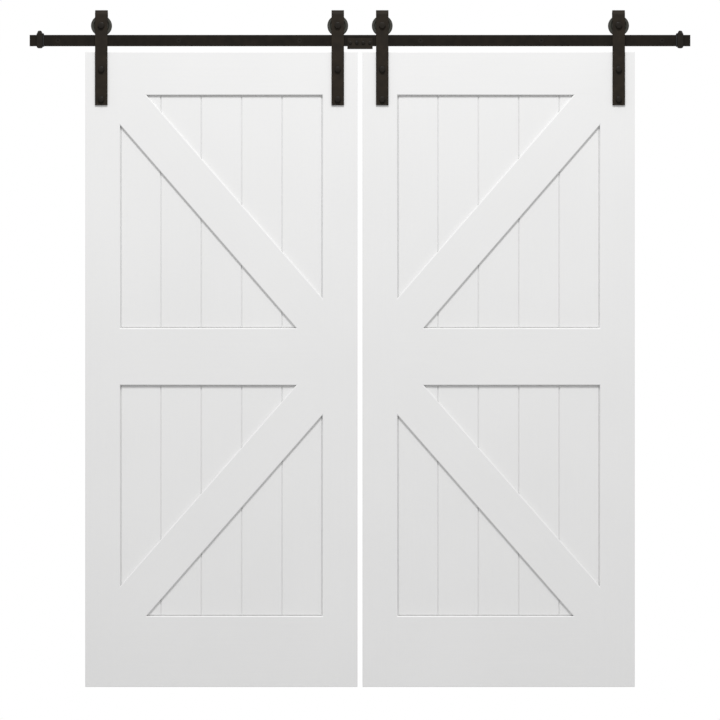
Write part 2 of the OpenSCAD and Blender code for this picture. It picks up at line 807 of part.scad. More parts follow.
outer_stile(RIGHT);  // right_outer_stile
inner_stile(RIGHT);  // right_inner_stile
top_rail(RIGHT);  // right_top_rail
middle_rail(RIGHT);  // right_middle_rail
bottom_rail(RIGHT);  // right_bottom_rail
panel(RIGHT, upper_opening_bottom, upper_opening_top);  // right_upper_panel
panel(RIGHT, lower_opening_bottom, lower_opening_top);  // right_lower_panel
upper_brace(RIGHT, FRONT);  // right_upper_front_brace
upper_brace(RIGHT, BACK);  // right_upper_back_brace
lower_brace(RIGHT, FRONT);  // right_lower_front_brace
lower_brace(RIGHT, BACK);  // right_lower_back_brace
strap(RIGHT, outer_hanger_x);  // right_outer_strap
strap(RIGHT, inner_hanger_x);  // right_inner_strap
axle_bolts(RIGHT);  // right_axle_bolts
axle_nuts(RIGHT);  // right_axle_nuts
axle_spacers(RIGHT);  // right_axle_spacers
strap_bolts(RIGHT);  // right_strap_bolts
strap_washers(RIGHT);  // right_strap_washers
strap_nuts(RIGHT);  // right_strap_nuts
wheel(RIGHT, outer_hanger_x);  // right_outer_wheel
wheel(RIGHT, inner_hanger_x);  // right_inner_wheel
bearing(RIGHT, outer_hanger_x);  // right_outer_bearing
bearing(RIGHT, inner_hanger_x);  // right_inner_bearing
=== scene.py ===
"""Bi-parting sliding barn door: its finished pieces, their finishes, the light and the camera.

Metres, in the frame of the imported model: X runs along the track, Y points into the wall and Z
points up. The left half mirrors the right half, so every piece is worked out for the right.
"""
import json
import logging
import math
from collections.abc import Sequence
from dataclasses import dataclass
from enum import Enum
from functools import cache
from typing import Any

import bmesh
import bpy
import numpy as np
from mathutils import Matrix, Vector


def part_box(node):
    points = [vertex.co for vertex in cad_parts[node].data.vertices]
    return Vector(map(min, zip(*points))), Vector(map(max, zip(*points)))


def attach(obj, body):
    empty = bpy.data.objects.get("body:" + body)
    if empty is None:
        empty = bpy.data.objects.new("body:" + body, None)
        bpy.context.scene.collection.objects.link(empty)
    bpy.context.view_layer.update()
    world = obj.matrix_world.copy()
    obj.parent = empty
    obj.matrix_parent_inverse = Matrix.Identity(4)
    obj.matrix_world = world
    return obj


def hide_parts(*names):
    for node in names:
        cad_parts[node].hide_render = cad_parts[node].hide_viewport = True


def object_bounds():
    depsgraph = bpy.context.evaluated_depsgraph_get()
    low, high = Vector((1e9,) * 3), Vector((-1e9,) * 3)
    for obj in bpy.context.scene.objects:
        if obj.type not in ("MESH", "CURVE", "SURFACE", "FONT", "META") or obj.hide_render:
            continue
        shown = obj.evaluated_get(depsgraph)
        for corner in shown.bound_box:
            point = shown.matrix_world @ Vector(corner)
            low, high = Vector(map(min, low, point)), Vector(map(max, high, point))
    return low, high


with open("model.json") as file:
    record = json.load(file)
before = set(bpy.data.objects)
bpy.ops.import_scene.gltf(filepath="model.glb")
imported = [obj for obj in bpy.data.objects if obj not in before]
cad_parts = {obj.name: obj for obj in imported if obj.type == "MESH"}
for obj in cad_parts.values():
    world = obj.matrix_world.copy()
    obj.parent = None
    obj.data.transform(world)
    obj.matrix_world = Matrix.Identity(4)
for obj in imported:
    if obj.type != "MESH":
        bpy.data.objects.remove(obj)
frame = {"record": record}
CAD_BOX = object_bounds()
LOG = logging.getLogger("barn_door")
MM = 0.001
SHARP = math.radians(32)  # corners past this stay sharp
WIDE = 4 * MM  # faces whose sides are all longer than this are shaded flat
MERGE = 1e-6  # points closer than this become one
OVER = 2 * MM  # how far a tool reaches past what it cuts
SOCKET_FLOOR = 0.8  # width of the cone in a hexagon socket's floor, as a share of its flats
WASHER_RADIUS = 11 * MM  # of the strap bolts' washers

Height = float | np.ndarray
Ring = tuple[Height, Height]


# ---------------------------------------------------------------- surfaces


class Ends(Enum):
    """What closes a stack of rings."""

    CAPPED = "flat caps on the first and the last ring"
    LOOPED = "the last ring joins the first"
    POLES = "the first and the last ring have shrunk to a point"


class Axis(Enum):
    """The line that a turned piece turns about, as the directions of angle 0, angle 90 and length."""

    INTO_WALL = ((1, 0, 0), (0, 0, 1), (0, 1, 0))
    UPWARDS = ((1, 0, 0), (0, 1, 0), (0, 0, 1))


@dataclass(frozen=True)
class Shape:
    """A closed surface as arrays: points, four-sided faces, and flat outlines that cap its ends."""

    points: np.ndarray
    quads: np.ndarray
    caps: tuple[tuple[int, ...], ...] = ()

    @classmethod
    def skin(cls, rings: np.ndarray, ends: Ends) -> "Shape":
        """Stretches a surface over a stack of rings.

        Face (i, j) joins points j and j + 1 of ring i to the same two places of ring i + 1.

        Args:
            rings: Points, of shape (rings, places round a ring, 3).
            ends: What closes the stack.
        Returns:
            The closed surface, with its faces pointing outwards.
        """
        count, around = rings.shape[:2]
        index = np.arange(count * around).reshape(count, around)
        stack = np.vstack([index, index[:1]]) if ends is Ends.LOOPED else index
        turned = np.roll(stack, -1, axis=1)
        quads = np.stack([stack[:-1], turned[:-1], turned[1:], stack[1:]], axis=-1).reshape(-1, 4)
        caps = (tuple(index[0, ::-1]), tuple(index[-1])) if ends is Ends.CAPPED else ()
        return cls(rings.reshape(-1, 3), quads, caps).outward()

    @staticmethod
    def joined(shapes: Sequence["Shape"]) -> "Shape":
        """Puts several surfaces into one, each with its point numbers moved past the ones before.

        Args:
            shapes: The surfaces.
        Returns:
            One surface that holds them all.
        """
        starts = np.cumsum([0] + [len(s.points) for s in shapes])
        return Shape(
            np.concatenate([s.points for s in shapes]),
            np.concatenate([s.quads + start for s, start in zip(shapes, starts)]),
            tuple(tuple(int(i + start) for i in cap)
                  for s, start in zip(shapes, starts) for cap in s.caps),
        )

    def volume(self) -> float:
        """Adds up a sixth of a . (b x c) over all triangles.

        Returns:
            The volume, negative where the surface is inside out.
        """
        fans = [self.quads[:, [0, 1, 2]], self.quads[:, [0, 2, 3]]]
        fans += [np.column_stack([np.full(len(cap) - 2, cap[0]), cap[1:-1], cap[2:]])
                 for cap in self.caps]
        a, b, c = self.points[np.concatenate(fans)].transpose(1, 0, 2)
        return float(np.einsum("ij,ij->", a, np.cross(b, c)) / 6)

    def outward(self) -> "Shape":
        """Turns every face over if the surface is inside out.

        Returns:
            The surface, with its faces pointing outwards.
        """
        if self.volume() >= 0:
            return self
        return Shape(self.points, self.quads[:, ::-1], tuple(cap[::-1] for cap in self.caps))

    def scaled(self, x: float) -> "Shape":
        """Multiplies X, which mirrors the surface where x is -1."""
        return Shape(self.points * [x, 1, 1], self.quads, self.caps).outward()

    def made(self, name: str) -> bpy.types.Object:
        """Makes the surface an object, smooth but for its wide flat faces and its sharp corners.

        Args:
            name: The object's name.
        Returns:
            The object, at the origin, with points that coincide merged.
        """
        mesh = bpy.data.meshes.new(name)
        mesh.from_pydata(self.points, [], self.quads.tolist() + [list(cap) for cap in self.caps])
        corner = self.points[self.quads]
        shortest = np.linalg.norm(corner - np.roll(corner, 1, axis=1), axis=2).min(axis=1)
        flat = mesh.attributes.new("flat", "BOOLEAN", "FACE")
        flat.data.foreach_set("value", np.r_[shortest > WIDE, np.ones(len(self.caps), bool)])
        work = bmesh.new()
        work.from_mesh(mesh)
        bmesh.ops.remove_doubles(work, verts=work.verts, dist=MERGE)
        work.to_mesh(mesh)
        work.free()
        shade(mesh)
        thing = bpy.data.objects.new(name, mesh)
        bpy.context.scene.collection.objects.link(thing)
        return thing


def shade(mesh: bpy.types.Mesh) -> None:
    """Shades a mesh smooth, but for its sharp corners and for the faces that are marked flat.

    Args:
        mesh: The mesh, with an attribute that marks its flat faces.
    """
    mesh.set_sharp_from_angle(angle=SHARP)
    flat = np.zeros(len(mesh.polygons), bool)
    mesh.attributes["flat"].data.foreach_get("value", flat)
    mesh.polygons.foreach_set("use_smooth", ~flat)


def softened(outline: np.ndarray, radius: float | np.ndarray, steps: int = 4) -> np.ndarray:
    """Rounds the corners of a closed outline.

    Corner C becomes the curve (1 - t)^2 A + 2 t (1 - t) C + t^2 B, where A and B lie on its two
    sides, a radius away from C but never past 0.45 of a side.

    Args:
        outline: Corners, of shape (corners, 2).
        radius: Distance from a corner to the ends of its curve, for all corners or for each.
        steps: Points along each curve.
    Returns:
        Points, of shape (corners * steps, 2).
    """
    wanted = np.broadcast_to(np.asarray(radius, float), len(outline))[:, None]
    ends = []
    for turn in (1, -1):
        side = np.roll(outline, turn, axis=0) - outline
        length = np.linalg.norm(side, axis=1, keepdims=True)
        ends.append(outline + side / length * np.minimum(wanted, 0.45 * length))
    t = np.linspace(0, 1, steps)[None, :, None]
    start, end = ends
    curve = (1 - t) ** 2 * start[:, None] + 2 * t * (1 - t) * outline[:, None] + t ** 2 * end[:, None]
    return curve.reshape(-1, 2)


def inset(outline: np.ndarray, distance: np.ndarray) -> np.ndarray:
    """Moves every side of a closed outline inwards.

    A corner between sides of normals m and n moves by -distance (m + n) / (1 + m . n).

    Args:
        outline: Points, counterclockwise, of shape (points, 2).
        distance: One distance for each ring, of shape (rings,).
    Returns:
        Rings of points, of shape (rings, points, 2).
    """
    side = np.roll(outline, -1, axis=0) - outline
    normal = np.column_stack([side[:, 1], -side[:, 0]]) / np.linalg.norm(side, axis=1, keepdims=True)
    before = np.roll(normal, 1, axis=0)
    mitre = (before + normal) / (1 + (before * normal).sum(1, keepdims=True))
    return outline[None] - distance[:, None, None] * mitre[None]


def eased(length: float, edge: float, steps: int = 4) -> tuple[np.ndarray, np.ndarray]:
    """Gives places along a bar, close together where its ends are rounded off.

    At angle a from the end face, the place is edge (1 - cos a) and the section has shrunk by
    edge (1 - sin a). One more place past each rounding keeps the rest of the bar flat.

    Args:
        length: Length of the bar.
        edge: Radius of the rounding.
        steps: Places within each rounding.
    Returns:
        Places along the bar, and how far the section has shrunk at each.
    """
    a = np.linspace(0, math.pi / 2, steps)
    near = np.r_[edge * (1 - np.cos(a)), edge * 1.5]
    shrunk = np.r_[edge * (1 - np.sin(a)), 0.0]
    return np.r_[near, length - near[::-1]], np.r_[shrunk, shrunk[::-1]]


def swept(section: np.ndarray, centres: np.ndarray, across: np.ndarray, through: np.ndarray,
          shrunk: np.ndarray) -> Shape:
    """Carries a section along a path: centre + u across + v through, for each (u, v) of the section.

    Args:
        section: Points (u, v), of shape (points, 2).
        centres: Places along the path, of shape (places, 3).
        across: Direction of u, for the path or for each place.
        through: Direction of v, for the path or for each place.
        shrunk: How far the section has shrunk at each place.
    Returns:
        The capped surface.
    """
    uv = section[None] - np.sign(section)[None] * shrunk[:, None, None]
    across, through = (np.broadcast_to(np.asarray(d, float), centres.shape) for d in (across, through))
    rings = centres[:, None] + uv[..., :1] * across[:, None] + uv[..., 1:] * through[:, None]
    return Shape.skin(rings, Ends.CAPPED)


def rectangle(width: float, height: float) -> np.ndarray:
    """Gives the four corners of a rectangle about the origin, counterclockwise."""
    return np.array([[-1, -1], [1, -1], [1, 1], [-1, 1]]) * [width / 2, height / 2]


def stood(flat: np.ndarray, y: np.ndarray) -> np.ndarray:
    """Puts rings of points (x, z) at their depths.

    Args:
        flat: Points, of shape (rings, points, 2).
        y: Depth of each ring, of shape (rings, 1), or of each point.
    Returns:
        Points (x, y, z), of shape (rings, points, 3).
    """
    return np.stack([flat[..., 0], np.broadcast_to(y, flat.shape[:2]), flat[..., 1]], axis=-1)


def bar(low: np.ndarray, high: np.ndarray, corner: float, edge: float) -> Shape:
    """Makes a flat bar along X: a rectangle with soft corners, carried from one end to the other.

    Args:
        low: Lowest corner.
        high: Highest corner.
        corner: Radius of the long edges.
        edge: Radius of the edges at the two ends.
    Returns:
        The bar.
    """
    middle, size = (low + high) / 2, high - low
    places, shrunk = eased(size[0], edge)
    centres = np.column_stack([low[0] + places, np.full(len(places), middle[1]),
                               np.full(len(places), middle[2])])
    section = softened(rectangle(size[1], size[2]), corner)
    return swept(section, centres, np.array([0, 1, 0]), np.array([0, 0, 1]), shrunk)


def slab(outline: np.ndarray, low_y: float, high_y: float, edge: float) -> Shape:
    """Thickens an outline in X and Z along Y, with a rounding round both faces.

    Args:
        outline: Points (x, z), counterclockwise.
        low_y: The front.
        high_y: The back.
        edge: Radius of the rounding.
    Returns:
        The slab.
    """
    places, shrunk = eased(high_y - low_y, edge)
    return Shape.skin(stood(inset(outline, shrunk), (low_y + places)[:, None]), Ends.CAPPED)


def block(low: Sequence[float], high: Sequence[float]) -> Shape:
    """Makes a plain box, as a tool that cuts.

    Args:
        low: Lowest corner.
        high: Highest corner.
    Returns:
        The box.
    """
    start, end = np.array([low[0], low[2]]), np.array([high[0], high[2]])
    outline = start + (rectangle(1, 1) + 0.5) * (end - start)
    return Shape.skin(stood(np.stack([outline, outline]), np.array([[low[1]], [high[1]]])), Ends.CAPPED)


# ---------------------------------------------------------------- turned pieces


def turns(count: int) -> np.ndarray:
    """Gives angles all the way round, the corners of a hexagon among them."""
    return np.arange(count) * 2 * math.pi / count


def hexagon(flats: float, around: int) -> np.ndarray:
    """Gives the radius of a hexagon at each angle: half its flats over the cosine of the angle
    from the middle of the nearest flat.

    Args:
        flats: Width across the flats.
        around: Number of angles.
    Returns:
        A radius for each angle, with a corner at angle 0.
    """
    fold = np.mod(turns(around), math.pi / 3) - math.pi / 6
    return flats / 2 / np.cos(fold)


def lathe(rings: Sequence[Ring], centre: Sequence[float], ends: Ends, around: int = 48,
          axis: Axis = Axis.INTO_WALL) -> Shape:
    """Turns rings about an axis: centre + r cos(a) u + r sin(a) v + h w, at every angle a.

    Args:
        rings: Radius r and height h of each ring, each one number or one for each angle.
        centre: The point on the axis where h is 0.
        ends: What closes the stack of rings.
        around: Number of angles.
        axis: The directions u, v and w.
    Returns:
        The turned surface.
    """
    u, v, w = (np.array(d, float) for d in axis.value)
    r = np.stack([np.broadcast_to(np.asarray(ring[0], float), around) for ring in rings])[..., None]
    h = np.stack([np.broadcast_to(np.asarray(ring[1], float), around) for ring in rings])[..., None]
    a = turns(around)[None, :, None]
    return Shape.skin(np.asarray(centre, float) + r * np.cos(a) * u + r * np.sin(a) * v + h * w, ends)


def drill(radius: float, start: Sequence[float], length: float, axis: Axis = Axis.INTO_WALL) -> Shape:
    """Makes the tool for a plain round hole.

    Args:
        radius: Radius of the hole.
        start: Middle of the end where it starts.
        length: How far it goes.
        axis: The line that it turns about.
    Returns:
        The tool.
    """
    return lathe([(0, 0), (radius, 0), (radius, length), (0, length)], start, Ends.POLES, axis=axis)


def turned(outline: Sequence[tuple[float, float]], centre: Sequence[float], corner: float | np.ndarray,
           around: int = 64) -> Shape:
    """Turns a closed outline about a line along Y, with soft corners, into a ring-shaped piece.

    Args:
        outline: Corners (radius, height).
        centre: The point on the axis where the height is 0.
        corner: Radius of the soft corners, for all corners or for each.
        around: Number of angles.
    Returns:
        The ring-shaped surface.
    """
    soft = softened(np.array(outline, float), corner)
    return lathe([tuple(p) for p in soft], centre, Ends.LOOPED, around)


@dataclass(frozen=True)
class Thread:
    """A screw thread: r = root + (crest - root) max(0, 1 - |2 p - 1| / share), where p is the
    fractional part of h / pitch - angle / 360 degrees, and share is the part of the pitch that
    the ridge is wide."""

    root: float
    crest: float
    pitch: float
    share: float = 1.0
    steps: int = 8

    def rings(self, start: float, end: float, around: int, tip: float | None = None) -> list[Ring]:
        """Gives the rings of the thread between two heights.

        Args:
            start: Height where it starts.
            end: Height where it ends.
            around: Number of angles.
            tip: Radius that it narrows to at its end, or None where it stays as wide.
        Returns:
            Rings, each of one height.
        """
        count = max(2, round(abs(end - start) / self.pitch * self.steps))
        h = np.linspace(start, end, count)[:, None]
        p = np.mod(h / self.pitch - turns(around)[None] / (2 * math.pi), 1)
        r = self.root + (self.crest - self.root) * np.maximum(0, 1 - np.abs(2 * p - 1) / self.share)
        if tip is not None:
            r = tip + (r - tip) * np.sqrt(np.clip((end - h) / (end - start), 0, 1))
        return [(row, float(height)) for row, height in zip(r, h[:, 0])]


@dataclass(frozen=True)
class HexBolt:
    """A hexagon bolt along Y with a turned top and a threaded end. The depths of its thread and of
    its end are shares of the pitch, and the sizes of its head are shares of its diameter and flats."""

    diameter: float
    flats: float
    pitch: float
    around: int = 36
    head_ratio: float = 0.63
    turned_share: float = 0.95
    chamfer: float = math.tan(math.radians(30))
    top_share: float = 0.97
    top_edge: float = 0.06 * MM
    foot_edge: float = 0.3 * MM
    root_depth: float = 0.6
    end_depth: float = 0.7
    flare: float = 0.6 * MM

    def shape(self, seat: Sequence[float], length: float, threaded: float) -> Shape:
        """Makes the bolt. The top of its head falls away from the turned circle at 30 degrees
        until it meets the hexagon.

        Args:
            seat: Middle of the underside of the head.
            length: Length under the head.
            threaded: Length of thread at the end.
        Returns:
            The bolt.
        """
        r, top = self.diameter / 2, -self.diameter * self.head_ratio
        sides, circle = hexagon(self.flats, self.around), self.flats / 2 * self.turned_share
        thread = Thread(r - self.root_depth * self.pitch, r, self.pitch)
        rings: list[Ring] = [
            (0, top), (circle * self.top_share, top), (circle, top + self.top_edge),
            (sides, top + (sides - circle) * self.chamfer), (sides, -self.foot_edge), (circle, 0), (r, 0),
            (r, length - threaded),
            *thread.rings(length - threaded, length - self.pitch / 2, self.around),
            (r - self.end_depth * self.pitch, length), (0, length),
        ]
        return lathe(rings, seat, Ends.POLES, self.around)

    def nut(self, seat: Sequence[float], height: float) -> Shape:
        """Makes a nut with both faces turned and a chamfered bore.

        Args:
            seat: Middle of the face that lies towards the front.
            height: Its height.
        Returns:
            The nut.
        """
        sides, circle = hexagon(self.flats, self.around), self.flats / 2 * self.turned_share
        slope, bore, flare = (sides - circle) * self.chamfer, self.diameter / 2, self.flare
        rings: list[Ring] = [
            (bore, flare), (bore + flare, 0), (circle, 0), (sides, slope), (sides, height - slope),
            (circle, height), (bore + flare, height), (bore, height - flare),
        ]
        return lathe(rings, seat, Ends.LOOPED, self.around)


# ---------------------------------------------------------------- shader arithmetic


class Value:
    """A number that varies over a surface: a socket, with arithmetic that adds Math nodes."""

    def __init__(self, shader: "Shader", socket: bpy.types.NodeSocket) -> None:
        """Keeps what the number is made of.

        Args:
            shader: The shader that it belongs to.
            socket: Its socket.
        """
        self.shader = shader
        self.socket = socket

    def _math(self, operation: str, first: Any, second: Any) -> "Value":
        """Adds one Math node and wraps its result."""
        node = self.shader.node("ShaderNodeMath", {"operation": operation}, {0: first, 1: second})
        return Value(self.shader, node.outputs[0])

    def __add__(self, other: Any) -> "Value":
        """Adds."""
        return self._math("ADD", self, other)

    __radd__ = __add__

    def __sub__(self, other: Any) -> "Value":
        """Subtracts."""
        return self._math("SUBTRACT", self, other)

    def __rsub__(self, other: Any) -> "Value":
        """Subtracts this from a number."""
        return self._math("SUBTRACT", other, self)

    def __mul__(self, other: Any) -> "Value":
        """Multiplies."""
        return self._math("MULTIPLY", self, other)

    __rmul__ = __mul__

    def risen(self, low: float, high: float) -> "Value":
        """Adds a node that rises smoothly.

        Args:
            low: Where it is 0.
            high: Where it is 1.
        Returns:
            The risen number.
        """
        node = self.shader.node("ShaderNodeMapRange", {"interpolation_type": "SMOOTHSTEP"},
                                {"Value": self, "From Min": low, "From Max": high})
        return Value(self.shader, node.outputs["Result"])


class Shader:
    """The node tree of one material, built from the object coordinates outwards."""

    def __init__(self, name: str) -> None:
        """Starts an empty material.

        Args:
            name: The material's name.
        """
        self.material = bpy.data.materials.new(name)
        self.material.use_nodes = True
        self.tree = self.material.node_tree
        self.tree.nodes.clear()
        self.place = self.node("ShaderNodeTexCoord", {}, {}).outputs["Object"]

    def node(self, kind: str, settings: dict[str, Any], inputs: dict[Any, Any]) -> bpy.types.Node:
        """Adds a node, sets it up, and then fills its inputs.

        Args:
            kind: The node's type.
            settings: Its own settings, which may change what inputs it has.
            inputs: A number, colour, Value or socket for each input, by name or place.
        Returns:
            The node.
        """
        made = self.tree.nodes.new(kind)
        for name, setting in settings.items():
            setattr(made, name, setting)
        for key, given in inputs.items():
            source = given.socket if isinstance(given, Value) else given
            if isinstance(source, bpy.types.NodeSocket):
                self.tree.links.new(source, made.inputs[key])
            else:
                made.inputs[key].default_value = source
        return made

    def along(self, degrees: float, stretch: float) -> bpy.types.NodeSocket:
        """Gives coordinates in which a pattern is drawn out along one direction in X and Z.

        Args:
            degrees: The direction, from X towards Z.
            stretch: How many times longer than wide the pattern is.
        Returns:
            The coordinates' socket.
        """
        turned_by = (0.0, -math.radians(degrees), 0.0)
        return self.node("ShaderNodeMapping", {"vector_type": "TEXTURE"},
                         {"Vector": self.place, "Rotation": turned_by,
                          "Scale": (stretch, 1.0, 1.0)}).outputs[0]

    def noise(self, size: float, detail: float = 2.0,
              place: bpy.types.NodeSocket | None = None) -> Value:
        """Gives smooth noise from 0 to 1.

        Args:
            size: Width of its largest lumps, in metres.
            detail: How many finer layers it has.
            place: Coordinates, or None for the object's own.
        Returns:
            The noise.
        """
        node = self.node("ShaderNodeTexNoise", {},
                         {"Vector": place or self.place, "Scale": 1 / size, "Detail": detail})
        return Value(self, node.outputs["Fac"])

    def pits(self, size: float) -> Value:
        """Gives the distance to the nearest of many scattered points, in widths of a cell.

        Args:
            size: Distance between the points, in metres.
        Returns:
            The distance.
        """
        node = self.node("ShaderNodeTexVoronoi", {}, {"Vector": self.place, "Scale": 1 / size})
        return Value(self, node.outputs["Distance"])

    def attribute(self, name: str) -> Value:
        """Reads a number that the mesh carries at its points."""
        return Value(self, self.node("ShaderNodeAttribute", {"attribute_name": name}, {}).outputs["Fac"])

    def mixed(self, share: Value, first: Any, second: Any) -> bpy.types.NodeSocket:
        """Mixes two colours.

        Args:
            share: How much of the second colour there is.
            first: A colour or its socket.
            second: A colour or its socket.
        Returns:
            The mixed colour's socket.
        """
        made = self.node("ShaderNodeMix", {"data_type": "RGBA"}, {0: share, 6: first, 7: second})
        return made.outputs[2]

    def relief(self, height: Value, depth: float, strength: float) -> bpy.types.NodeSocket:
        """Gives the normal of a surface with a fine relief.

        Args:
            height: The relief, from 0 to 1.
            depth: How deep a height of 1 is, in metres.
            strength: How much of it shows.
        Returns:
            The normal's socket.
        """
        return self.node("ShaderNodeBump", {},
                         {"Height": height, "Distance": depth, "Strength": strength}).outputs[0]

    def surface(self, **inputs: Any) -> bpy.types.Material:
        """Ends the tree in a surface shader.

        Args:
            **inputs: What goes into each of its inputs, with _ for a space in the input's name.
        Returns:
            The finished material.
        """
        named = {key.replace("_", " "): given for key, given in inputs.items()}
        body = self.node("ShaderNodeBsdfPrincipled", {}, named)
        self.node("ShaderNodeOutputMaterial", {}, {"Surface": body.outputs[0]})
        return self.material


def grey(tone: float, warmth: float = 0.0) -> tuple[float, float, float, float]:
    """Gives a grey, a little redder and less blue where warmth is above 0."""
    return (tone * (1 + warmth), tone, tone * (1 - warmth), 1.0)


# ---------------------------------------------------------------- finishes


class Lay(Enum):
    """The way a roller ran along a board, in degrees from X towards Z."""

    LEVEL = 0.0
    UPRIGHT = 90.0
    RISING = 49.0
    FALLING = -49.0


@dataclass(frozen=True)
class SatinPaint:
    """White satin paint, rolled along each board over smooth primer."""

    lay: Lay
    slot: str = "white_paint"
    tone: float = 0.8
    warmth: float = 0.002
    roughness: float = 0.42

    @cache
    def material(self) -> bpy.types.Material:
        """Builds the paint: roller stipple, long faint roller tracks, and slow drifts of tone.

        Returns:
            The material, made once for each lay.
        """
        s = Shader(f"satin_paint_{self.lay.name.lower()}")
        drift = s.noise(0.45, 3)
        tracks = s.noise(4 * MM, 2, s.along(self.lay.value, 45))
        stipple = s.noise(1.1 * MM, 2)
        share = (0.7 * drift + 0.3 * tracks).risen(0.3, 0.7)
        colour = s.mixed(share, grey(self.tone * 0.99, self.warmth), grey(self.tone * 1.01, self.warmth))
        height = 0.75 * stipple + 0.25 * tracks
        rough = self.roughness + 0.10 * (stipple - 0.5) + 0.06 * (drift - 0.5)
        return s.surface(Base_Color=colour, Roughness=rough, IOR=1.46,
                         Normal=s.relief(height, 0.04 * MM, 0.4))


@dataclass(frozen=True)
class PowderCoat:
    """A dark bronze powder coat with its fine leathery texture."""

    name: str
    slot: str
    tone: float
    roughness: float = 0.5
    specular: float = 0.32

    @cache
    def material(self) -> bpy.types.Material:
        """Builds the coat: a close orange peel, and cloudy changes of tone and gloss.

        Returns:
            The material, made once for each coat.
        """
        s = Shader(self.name)
        cloud = s.noise(22 * MM, 4)
        peel = s.noise(0.9 * MM, 3)
        grain = s.pits(0.5 * MM)
        share = (0.7 * cloud + 0.3 * peel).risen(0.3, 0.7)
        colour = s.mixed(share, grey(self.tone * 0.78, 0.28), grey(self.tone * 1.2, 0.32))
        rough = self.roughness + 0.16 * (cloud - 0.5) + 0.1 * (peel - 0.5)
        return s.surface(Base_Color=colour, Roughness=rough, IOR=1.45, Specular_IOR_Level=self.specular,
                         Normal=s.relief(0.7 * peel + 0.3 * grain, 0.06 * MM, 0.6))


@dataclass(frozen=True)
class WornCoat:
    """The coat of a wheel, rubbed down to the steel where the track runs."""

    name: str = "worn_wheel_coat"
    slot: str = "wheel_steel"
    tone: float = 0.038

    @cache
    def material(self) -> bpy.types.Material:
        """Builds the coat, with bare steel where the wear is past a noisy limit.

        Returns:
            The material, made once.
        """
        s = Shader(self.name)
        cloud = s.noise(9 * MM, 4)
        scratches = s.noise(0.7 * MM, 3)
        bare = (s.attribute("wear") + 0.35 * (cloud - 0.5) + 0.2 * (scratches - 0.5)).risen(0.42, 0.62)
        dark, light = ([self.tone * part for part in parts] + [1.0]
                       for parts in ((0.85, 0.85, 0.66), (1.2, 1.18, 0.95)))
        coat = s.mixed(cloud.risen(0.3, 0.7), dark, light)
        colour = s.mixed(bare, coat, grey(0.42, 0.015))
        return s.surface(Base_Color=colour, Metallic=0.25 + 0.75 * bare,
                         Roughness=0.46 - 0.12 * bare + 0.14 * (scratches - 0.5),
                         Normal=s.relief(scratches, 0.04 * MM, 0.5))


@dataclass(frozen=True)
class PlatedSteel:
    """Bright zinc on turned steel."""

    name: str = "zinc_plate"
    slot: str = "zinc_steel"
    tone: float = 0.58

    @cache
    def material(self) -> bpy.types.Material:
        """Builds the plate: a soft spangle, brighter and duller by turns, and fine tool marks.

        Returns:
            The material, made once.
        """
        s = Shader(self.name)
        spangle = s.noise(3.5 * MM, 3)
        marks = s.noise(0.5 * MM, 2)
        colour = s.mixed(spangle.risen(0.25, 0.75), grey(self.tone * 0.86, -0.012),
                         grey(self.tone * 1.08, 0.012))
        return s.surface(Base_Color=colour, Metallic=1.0,
                         Roughness=0.3 + 0.18 * spangle + 0.1 * (marks - 0.5),
                         Normal=s.relief(marks, 0.03 * MM, 0.4))


@dataclass(frozen=True)
class BlackRubber:
    """Moulded black rubber with a bloom of dust."""

    name: str = "black_rubber"
    slot: str = "black_rubber"
    tone: float = 0.012

    @cache
    def material(self) -> bpy.types.Material:
        """Builds the rubber: a fine grain, and a paler bloom in patches.

        Returns:
            The material, made once.
        """
        s = Shader(self.name)
        bloom = s.noise(7 * MM, 4)
        grain = s.noise(0.6 * MM, 2)
        share = (0.8 * bloom + 0.2 * grain).risen(0.35, 0.8)
        colour = s.mixed(share, grey(self.tone), grey(self.tone * 2.1))
        return s.surface(Base_Color=colour, Roughness=0.78 + 0.12 * (grain - 0.5),
                         Specular_IOR_Level=0.35, Normal=s.relief(grain, 0.05 * MM, 0.6))


Finish = SatinPaint | PowderCoat | WornCoat | PlatedSteel | BlackRubber

TRACK_COAT = PowderCoat("track_coat", "bronze_steel", 0.0085, specular=0.13)
BOLT_COAT = PowderCoat("bolt_coat", "bronze_steel", 0.009, roughness=0.42, specular=0.22)
STRAP_COAT = PowderCoat("strap_coat", "strap_steel", 0.015, roughness=0.64, specular=0.15)
ZINC = PlatedSteel()


# ---------------------------------------------------------------- pieces


def cut(piece: bpy.types.Object, tools: Sequence[Shape]) -> None:
    """Takes the volume of some tools out of a piece, and keeps the result as its mesh.

    Args:
        piece: The piece.
        tools: Closed surfaces that don't meet each other.
    """
    tool = Shape.joined(tools).made(f"{piece.name}_tool")
    step = piece.modifiers.new("cut", "BOOLEAN")
    step.operation = "DIFFERENCE"
    step.solver = "EXACT"
    step.object = tool
    evaluated = piece.evaluated_get(bpy.context.evaluated_depsgraph_get())
    result = bpy.data.meshes.new_from_object(evaluated)
    piece.modifiers.clear()
    piece.data = result
    bpy.data.objects.remove(tool)
    shade(result)


def finished(node: str, body: str, shape: Shape, finish: Finish,
             tools: Sequence[Shape] = ()) -> bpy.types.Object:
    """Makes the piece that stands for a CAD node, dresses it and lets it ride on its body.

    Args:
        node: The CAD node.
        body: The body that the piece moves with.
        shape: The piece's surface, in its place.
        finish: The piece's finish.
        tools: What is cut out of it.
    Returns:
        The piece.
    """
    piece = shape.made(f"{node}_finished")
    if tools:
        cut(piece, tools)
    piece.data.materials.clear()
    piece.data.materials.append(finish.material())
    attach(piece, body)
    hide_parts(node)
    LOG.info("%s on %s: %d faces", piece.name, body, len(piece.data.polygons))
    return piece


